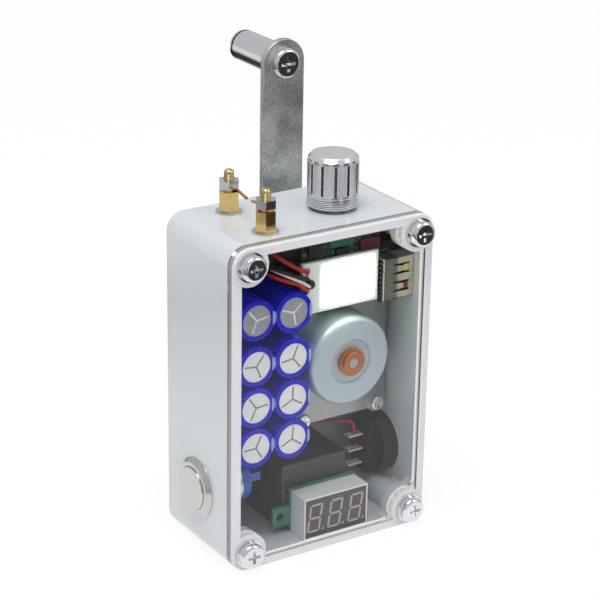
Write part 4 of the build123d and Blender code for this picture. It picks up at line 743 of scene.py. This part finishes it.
class GENERATOR_OT_socket(bpy.types.Operator):
    """Build the charging socket's shell and contacts, and the parts on its board"""
    bl_idname = "generator.socket"
    bl_label = "Charging socket"

    def execute(self, context):
        low, high = span("usb_shell")
        steel = socket_finish(low.x * MM)
        dress(steel, "usb_shell")
        dress(moulded("socket_insulator", srgb(226, 226, 220), roughness=0.45), "usb_tongue")
        dress(board_finish("socket_board", srgb(22, 40, 34), srgb(30, 60, 48),
                           srgb(150, 158, 150)), "usb_board")

        # the folded shell: four walls, and a front with two long windows
        skin = 0.3
        left, right = low.x + 3.3, low.x + 9.0
        middle_z = (low.z + high.z) / 2
        # heights from the middle: a window's two ends, and its spring
        window_near, window_far, spring_up = 1.1, 4.4, 2.75
        shell = bmesh.new()
        block(shell, low, (left, low.y + skin, high.z))
        block(shell, (right, low.y, low.z), (high.x, low.y + skin, high.z))
        for below, above in ((low.z, middle_z - window_far),
                             (middle_z - window_near, middle_z + window_near),
                             (middle_z + window_far, high.z)):
            block(shell, (left, low.y, below), (right, low.y + skin, above))
        block(shell, (low.x, high.y - skin, low.z), high)
        block(shell, low, (high.x, high.y, low.z + skin))
        block(shell, (low.x, low.y, high.z - skin), high)
        block(shell, low, (low.x + skin, high.y, high.z))
        for side in (-1, 1):
            centre = middle_z + side * spring_up
            root, tip = left - 0.05, right - 2.2
            plate(shell, [(root, centre - 1.15), (tip, centre - 0.75), (tip, centre + 0.75),
                          (root, centre + 1.15)], low.y + 0.02, low.y + 0.24)
            block(shell, (right - 0.45, low.y + 0.02, centre - 1.0),
                  (right + 0.1, low.y + 0.24, centre + 1.0))
        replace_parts(add_piece("socket_shell", shell, steel, "case"), "usb_shell")

        # what shows through the windows: a black sheet inside the shell, painted shade for the
        # socket's dark inside, and the spring tabs
        dark = moulded("black_chip", srgb(20, 20, 22), roughness=0.35, grain=0.0003)
        add_blocks("socket_painted_shade", [((left - 0.2, low.y + 0.7, middle_z - 4.6),
                                    (right + 0.2, low.y + 0.9, middle_z + 4.6))],
                   dark)
        for name, side, colour in (("socket_tab_upper", 1, srgb(206, 214, 96)),
                                   ("socket_tab_lower", -1, srgb(126, 66, 50))):
            centre = middle_z + side * spring_up
            add_blocks(name, [((right - 2.0, low.y + 0.1, centre - 1.0),
                               (right - 0.5, low.y + 0.4, centre + 1.0))],
                       moulded(name, colour, roughness=0.4), edge=0.08)

        # its white end and the nine soldered leads beside it
        add_blocks("socket_end", [((low.x - 0.5, low.y - 0.05, low.z),
                                   (low.x - 0.05, high.y, high.z))],
                   moulded("socket_end_white", srgb(206, 210, 204), roughness=0.4),
                   edge=0.1)
        teeth = bmesh.new()
        for step in range(9):
            lathe(teeth, [(0.68, 0.0), (0.68, 0.6), (0.5, 0.95), (0.15, 1.1)],
                  (low.x - 1.15, low.y + 0.8, low.z + 0.5 + step * 1.45), TO_FRONT, steps=12)
        add_piece("socket_leads", teeth,
                  moulded("socket_lead_solder", srgb(18, 34, 26), roughness=0.25, grain=0.0003,
                          coat=0.3), "case", smooth=True)

        # the upper board and its parts
        add_blocks("socket_upper_board", [((-6.4, -10.9, 83.0), (20.4, -10.1, 96.6))],
                   board_finish("upper_board", srgb(20, 34, 30), srgb(26, 54, 42),
                                srgb(158, 172, 158)), edge=0.1)
        face = -10.85
        add_blocks("socket_upper_mask", [((3.0, -11.4, 91.6), (11.0, face, 93.6))],
                   moulded("green_mask", srgb(22, 96, 66), roughness=0.3),
                   edge=0.1)
        add_blocks("socket_coil", [((13.2, -12.0, 88.2), (20.0, face, 92.6))],
                   moulded("maroon_part", srgb(78, 26, 32), roughness=0.35),
                   edge=0.3)
        board_face = span("usb_board")[1].y - 1.4
        add_blocks("socket_chips", [((-4.6, -12.0, 90.2), (0.0, face, 93.6)),
                                    ((5.0, -11.8, 89.2), (8.6, face, 91.0)),
                                    ((12.5, board_face - 1.2, 73.0), (17.0, board_face, 76.5))],
                   dark, edge=0.12)
        return {"FINISHED"}


def digit_outlines(height):
    """The seven bars and the dot of a leaning digit, as (x, z) in mm from its middle."""
    half_w, half_h, bar, lean = height * 0.25, height / 2, height * 0.074, 0.14
    gap = bar * 0.62
    outlines = []
    for z in (-half_h, 0.0, half_h):
        end = half_w - gap
        if z:
            inner = z - bar if z > 0 else z + bar
            outlines.append([(-end, z), (end, z), (end - bar * 0.6, inner),
                             (-end + bar * 0.6, inner)])
        else:
            outlines.append([(-end, 0), (-end + bar / 2, bar / 2), (end - bar / 2, bar / 2),
                             (end, 0), (end - bar / 2, -bar / 2), (-end + bar / 2, -bar / 2)])
    for side in (-1, 1):
        for up in (-1, 1):
            outer, inner = side * half_w, side * (half_w - bar)
            outlines.append([(outer, up * gap * 0.8), (outer, up * (half_h - gap * 0.6)),
                             (inner, up * (half_h - gap - bar * 0.5)), (inner, up * gap * 1.2)])
    outlines = [[(x + lean * z, z) for x, z in outline] for outline in outlines]
    dot_z = bar * 0.7 - half_h
    dot_x = half_w + bar * 1.5 + lean * dot_z
    outlines.append([(dot_x + cos(step * pi / 6) * gap, dot_z + sin(step * pi / 6) * gap)
                     for step in range(12)])
    return outlines


class GENERATOR_OT_voltmeter(bpy.types.Operator):
    """Finish the voltmeter and draw its unlit digits"""
    bl_idname = "generator.voltmeter"
    bl_label = "Voltmeter"

    def execute(self, context):
        electrics = context.scene.generator_electrics
        dress(moulded("meter_housing", srgb(222, 224, 223), roughness=0.4), "voltmeter_housing")
        dress(moulded("meter_face", srgb(58, 55, 60), roughness=0.22, grain=0.0004, coat=0.3),
              "voltmeter_face")
        dress(board_finish("meter_board", srgb(54, 116, 92), srgb(70, 136, 108)),
              "voltmeter_board")
        low, high = span("voltmeter_face")
        pitch = (high.x - low.x) / electrics.digits
        middle_z = (low.z + high.z) / 2
        segments = bmesh.new()
        for digit in range(electrics.digits):
            middle_x = low.x + pitch * (digit + 0.46)
            for outline in digit_outlines(electrics.digit_height / MM):
                plate(segments, [(middle_x + x, middle_z + z) for x, z in outline],
                      low.y - 0.04, low.y + 0.1)
        add_piece("voltmeter_segments", segments,
                  moulded("segment", electrics.segment, roughness=0.35, grain=0.0003),
                  "case")
        board_face = span("voltmeter_board")[0].y
        joints = bmesh.new()
        for z in (4.0, 6.6, 12.8, 14.6):
            solder(joints, (high.x + 0.9, board_face, z), radius=0.45, height=0.4)
        add_piece("voltmeter_pads", joints,
                  metal("meter_solder", srgb(206, 206, 200), roughness=0.24, mottle=0.1),
                  "case")
        return {"FINISHED"}


class GENERATOR_OT_controls(bpy.types.Operator):
    """Finish the module, the rocker switch and the push button"""
    bl_idname = "generator.controls"
    bl_label = "Module, switch and button"

    def execute(self, context):
        electrics = context.scene.generator_electrics
        dress(moulded("potted_shell", srgb(52, 52, 55), roughness=0.38, grain=0.0005,
                      depth=0.00003), "boost_module")
        dress(moulded("switch_black", srgb(26, 24, 30), roughness=0.3, grain=0.0004),
              "switch_body", "switch_rocker")
        dress(moulded("tinned_copper", srgb(226, 222, 208), roughness=0.18, grain=0.0005,
                      mottle=0.1, coat=0.4), "switch_terminals", "button_terminals")
        dress(moulded("button_blue", electrics.button, roughness=0.25, grain=0.0008, coat=0.2),
              "button_base")
        dress(metal("spring_steel", srgb(170, 170, 172), roughness=0.2), "button_spring")
        return {"FINISHED"}


class GENERATOR_OT_knob(bpy.types.Operator):
    """Finish the control knob"""
    bl_idname = "generator.knob"
    bl_label = "Knob"

    def execute(self, context):
        metals = context.scene.generator_metals
        dress(knob_finish(metals.knob), "control_knob")
        return {"FINISHED"}


class GENERATOR_OT_drive(bpy.types.Operator):
    """Finish the generator, the gearbox and its shafts"""
    bl_idname = "generator.drive"
    bl_label = "Generator and gearbox"

    def execute(self, context):
        metals = context.scene.generator_metals
        dress(can_finish(srgb(186, 199, 209)), "generator_can")
        dress(metal("bronze", srgb(206, 138, 92), roughness=0.3, mottle=0.1),
              "generator_bushing")
        dress(moulded("ferrite", srgb(52, 52, 54), roughness=0.6, grain=0.0004, depth=0.00003),
              "generator_magnets")
        dress(metal("shaft_steel", srgb(186, 188, 190), roughness=0.16, mottle=0.05),
              "generator_shaft", "layshaft", "crank_shaft", "pot_shaft")
        dress(metal("plate_steel", shade(metals.steel, 0.9), roughness=0.3, brush="Z",
                    mottle=0.12), "gearbox_front_plate", "gearbox_rear_plate", "armature")
        dress(metal("gear_brass", (0.76, 0.56, 0.25), roughness=0.24, mottle=0.08),
              "motor_pinion", "layshaft_gear", "output_gear", "gearbox_pillars", "shaft_bushing")
        return {"FINISHED"}


class GENERATOR_OT_crank(bpy.types.Operator):
    """Finish the crank arm and its handle"""
    bl_idname = "generator.crank"
    bl_label = "Crank and handle"

    def execute(self, context):
        metals = context.scene.generator_metals
        dress(arm_finish(metals.steel), "crank_arm")
        dress(handle_finish(metals.knob), "handle_sleeve")
        return {"FINISHED"}


class GENERATOR_OT_wires(bpy.types.Operator):
    """Finish the hook-up wires and the spacers"""
    bl_idname = "generator.wires"
    bl_label = "Wires"

    def execute(self, context):
        dress(moulded("wire_red", srgb(176, 26, 22), roughness=0.35, grain=0.0008), "red_wires")
        dress(moulded("wire_black", srgb(22, 22, 24), roughness=0.35, grain=0.0008), "black_wire")
        dress(moulded("wire_white", srgb(226, 225, 218), roughness=0.4, grain=0.0008),
              "white_wire", "gearbox_spacers")
        return {"FINISHED"}


def add_area(name, place, target, size, power, colour=WHITE):
    """A soft rectangular lamp in metres and watts, aimed at target."""
    light = bpy.data.lights.new(name, "AREA")
    light.color = colour
    light.shape = "RECTANGLE"
    light.size, light.size_y = size
    light.energy = power
    lamp = bpy.data.objects.new(name, light)
    bpy.context.scene.collection.objects.link(lamp)
    away = (Vector(place) - Vector(target)).normalized()
    aim = away.to_track_quat("Z", "Y").to_matrix().to_4x4()
    lamp.matrix_world = Matrix.Translation(place) @ aim


def floor_finish(colour):
    """Pale floor; polished parts see it white close by and dark, with streaks, farther off."""
    near_edge, streak_start = (0.10, 0.24), (0.2, 0.3)
    streak_pitch, first_streak = 2 * pi / 7, 0.995
    f = Finish("floor")
    x, y = f.axis("X"), f.axis("Y")
    seen = f.node("ShaderNodeLightPath", output="Is Camera Ray").larger(
        f.node("ShaderNodeLightPath", output="Is Transmission Ray"))
    mirrored = f.node("ShaderNodeLightPath", output="Is Glossy Ray")
    away = distance(x, y)
    ridges = (bearing(x, y) + first_streak - streak_pitch / 4).wave(streak_pitch)
    streak = f.spread(ridges, 0.55, 0.85, 0.0, 0.85) * f.spread(away, *streak_start)
    near = f.spread(away, *near_edge, 1.0, 0.04).larger(streak)
    plain = f.node("ShaderNodeBsdfDiffuse", sockets={"Color": colour})
    white = f.node("ShaderNodeEmission", sockets={"Color": WHITE,
                                                  "Strength": seen.larger(mirrored * near)})
    return f.surface(f.mixed((seen * 0.90).larger(mirrored), plain, white))


class GENERATOR_OT_stage(bpy.types.Operator):
    """Build the floor, the light and the camera"""
    bl_idname = "generator.stage"
    bl_label = "Stage"

    def execute(self, context):
        stage = context.scene.generator_stage
        scene = context.scene
        scene.view_settings.view_transform = "Standard"

        ground = bmesh.new()
        bmesh.ops.create_grid(ground, x_segments=1, y_segments=1, size=4.0)
        mesh = bpy.data.meshes.new("floor")
        ground.to_mesh(mesh)
        ground.free()
        mesh.materials.append(floor_finish(stage.floor))
        floor = bpy.data.objects.new("floor", mesh)
        scene.collection.objects.link(floor)

        world = bpy.data.worlds.new("room")
        world.use_nodes = True
        scene.world = world
        room = Nodes(world.node_tree)
        seen = room.node("ShaderNodeLightPath", output="Is Camera Ray").larger(
            room.node("ShaderNodeLightPath", output="Is Transmission Ray"))
        light = room.node("ShaderNodeBackground", sockets={"Color": (0.97, 0.98, 1.0),
                                                           "Strength": stage.light})
        backdrop = room.node("ShaderNodeBackground", sockets={"Color": WHITE, "Strength": 1.0})
        room.node("ShaderNodeOutputWorld", sockets={"Surface": room.mixed(seen, light, backdrop)})

        add_area("key_light", (-0.35, -0.25, 1.5), (0, 0, 0.06), (0.8, 0.8), 14.0)
        add_area("lamp_spill", (0.004, -0.0155, 0.0735), (0.004, -0.0135, 0.060),
                 (0.014, 0.003), 0.0011, (0.86, 1.0, 0.74))
        add_area("fill_light", (0.9, -0.9, 0.9), (0, 0, 0.06), (0.6, 0.9), 3.0)

        turn, tilt, roll = radians(-33.0), radians(21.6), radians(0.95)
        back = Vector((sin(turn) * cos(tilt), -cos(turn) * cos(tilt), sin(tilt)))
        right = Vector((cos(turn), sin(turn), 0))
        up = Vector((-sin(turn) * sin(tilt), cos(turn) * sin(tilt), cos(tilt)))
        axes = (cos(roll) * right + sin(roll) * up, cos(roll) * up - sin(roll) * right, back)
        looked_at = Vector((0.35, 0.0, 72.45)) * MM
        view = bpy.data.cameras.new("camera")
        view.lens = 124.7
        view.sensor_width = 36.0
        view.sensor_fit = "HORIZONTAL"
        camera = bpy.data.objects.new("camera", view)
        scene.collection.objects.link(camera)
        camera.matrix_world = (Matrix.Translation(looked_at + back * stage.distance)
                               @ Matrix(axes).transposed().to_4x4())
        scene.camera = camera
        return {"FINISHED"}


OPERATORS = (GENERATOR_OT_case, GENERATOR_OT_fasteners, GENERATOR_OT_spark_gap,
             GENERATOR_OT_capacitors, GENERATOR_OT_lamp, GENERATOR_OT_socket,
             GENERATOR_OT_voltmeter, GENERATOR_OT_controls, GENERATOR_OT_knob,
             GENERATOR_OT_drive, GENERATOR_OT_crank, GENERATOR_OT_wires, GENERATOR_OT_stage)
SETTINGS = {"generator_case": CaseSettings, "generator_electrics": ElectricsSettings,
            "generator_metals": MetalSettings, "generator_stage": StageSettings}


class GENERATOR_PT_panel(bpy.types.Panel):
    """Settings and steps of the hand crank generator"""
    bl_label = "Hand crank generator"
    bl_idname = "GENERATOR_PT_panel"
    bl_space_type = "VIEW_3D"
    bl_region_type = "UI"
    bl_category = "Generator"

    def draw(self, context):
        layout = self.layout
        for name, group in SETTINGS.items():
            box = layout.box()
            for setting in group.__annotations__:
                box.prop(getattr(context.scene, name), setting)
        for operator in OPERATORS:
            layout.operator(operator.bl_idname)


def register():
    for group in (*SETTINGS.values(), *OPERATORS, GENERATOR_PT_panel):
        bpy.utils.register_class(group)
    for name, group in SETTINGS.items():
        setattr(bpy.types.Scene, name, PointerProperty(type=group))


def unregister():
    for name in SETTINGS:
        delattr(bpy.types.Scene, name)
    for group in (GENERATOR_PT_panel, *reversed(OPERATORS), *reversed(SETTINGS.values())):
        bpy.utils.unregister_class(group)


def main():
    register()
    for operator in OPERATORS:
        group, action = operator.bl_idname.split(".")
        getattr(getattr(bpy.ops, group), action)()


if __name__ == "__main__":
    main()
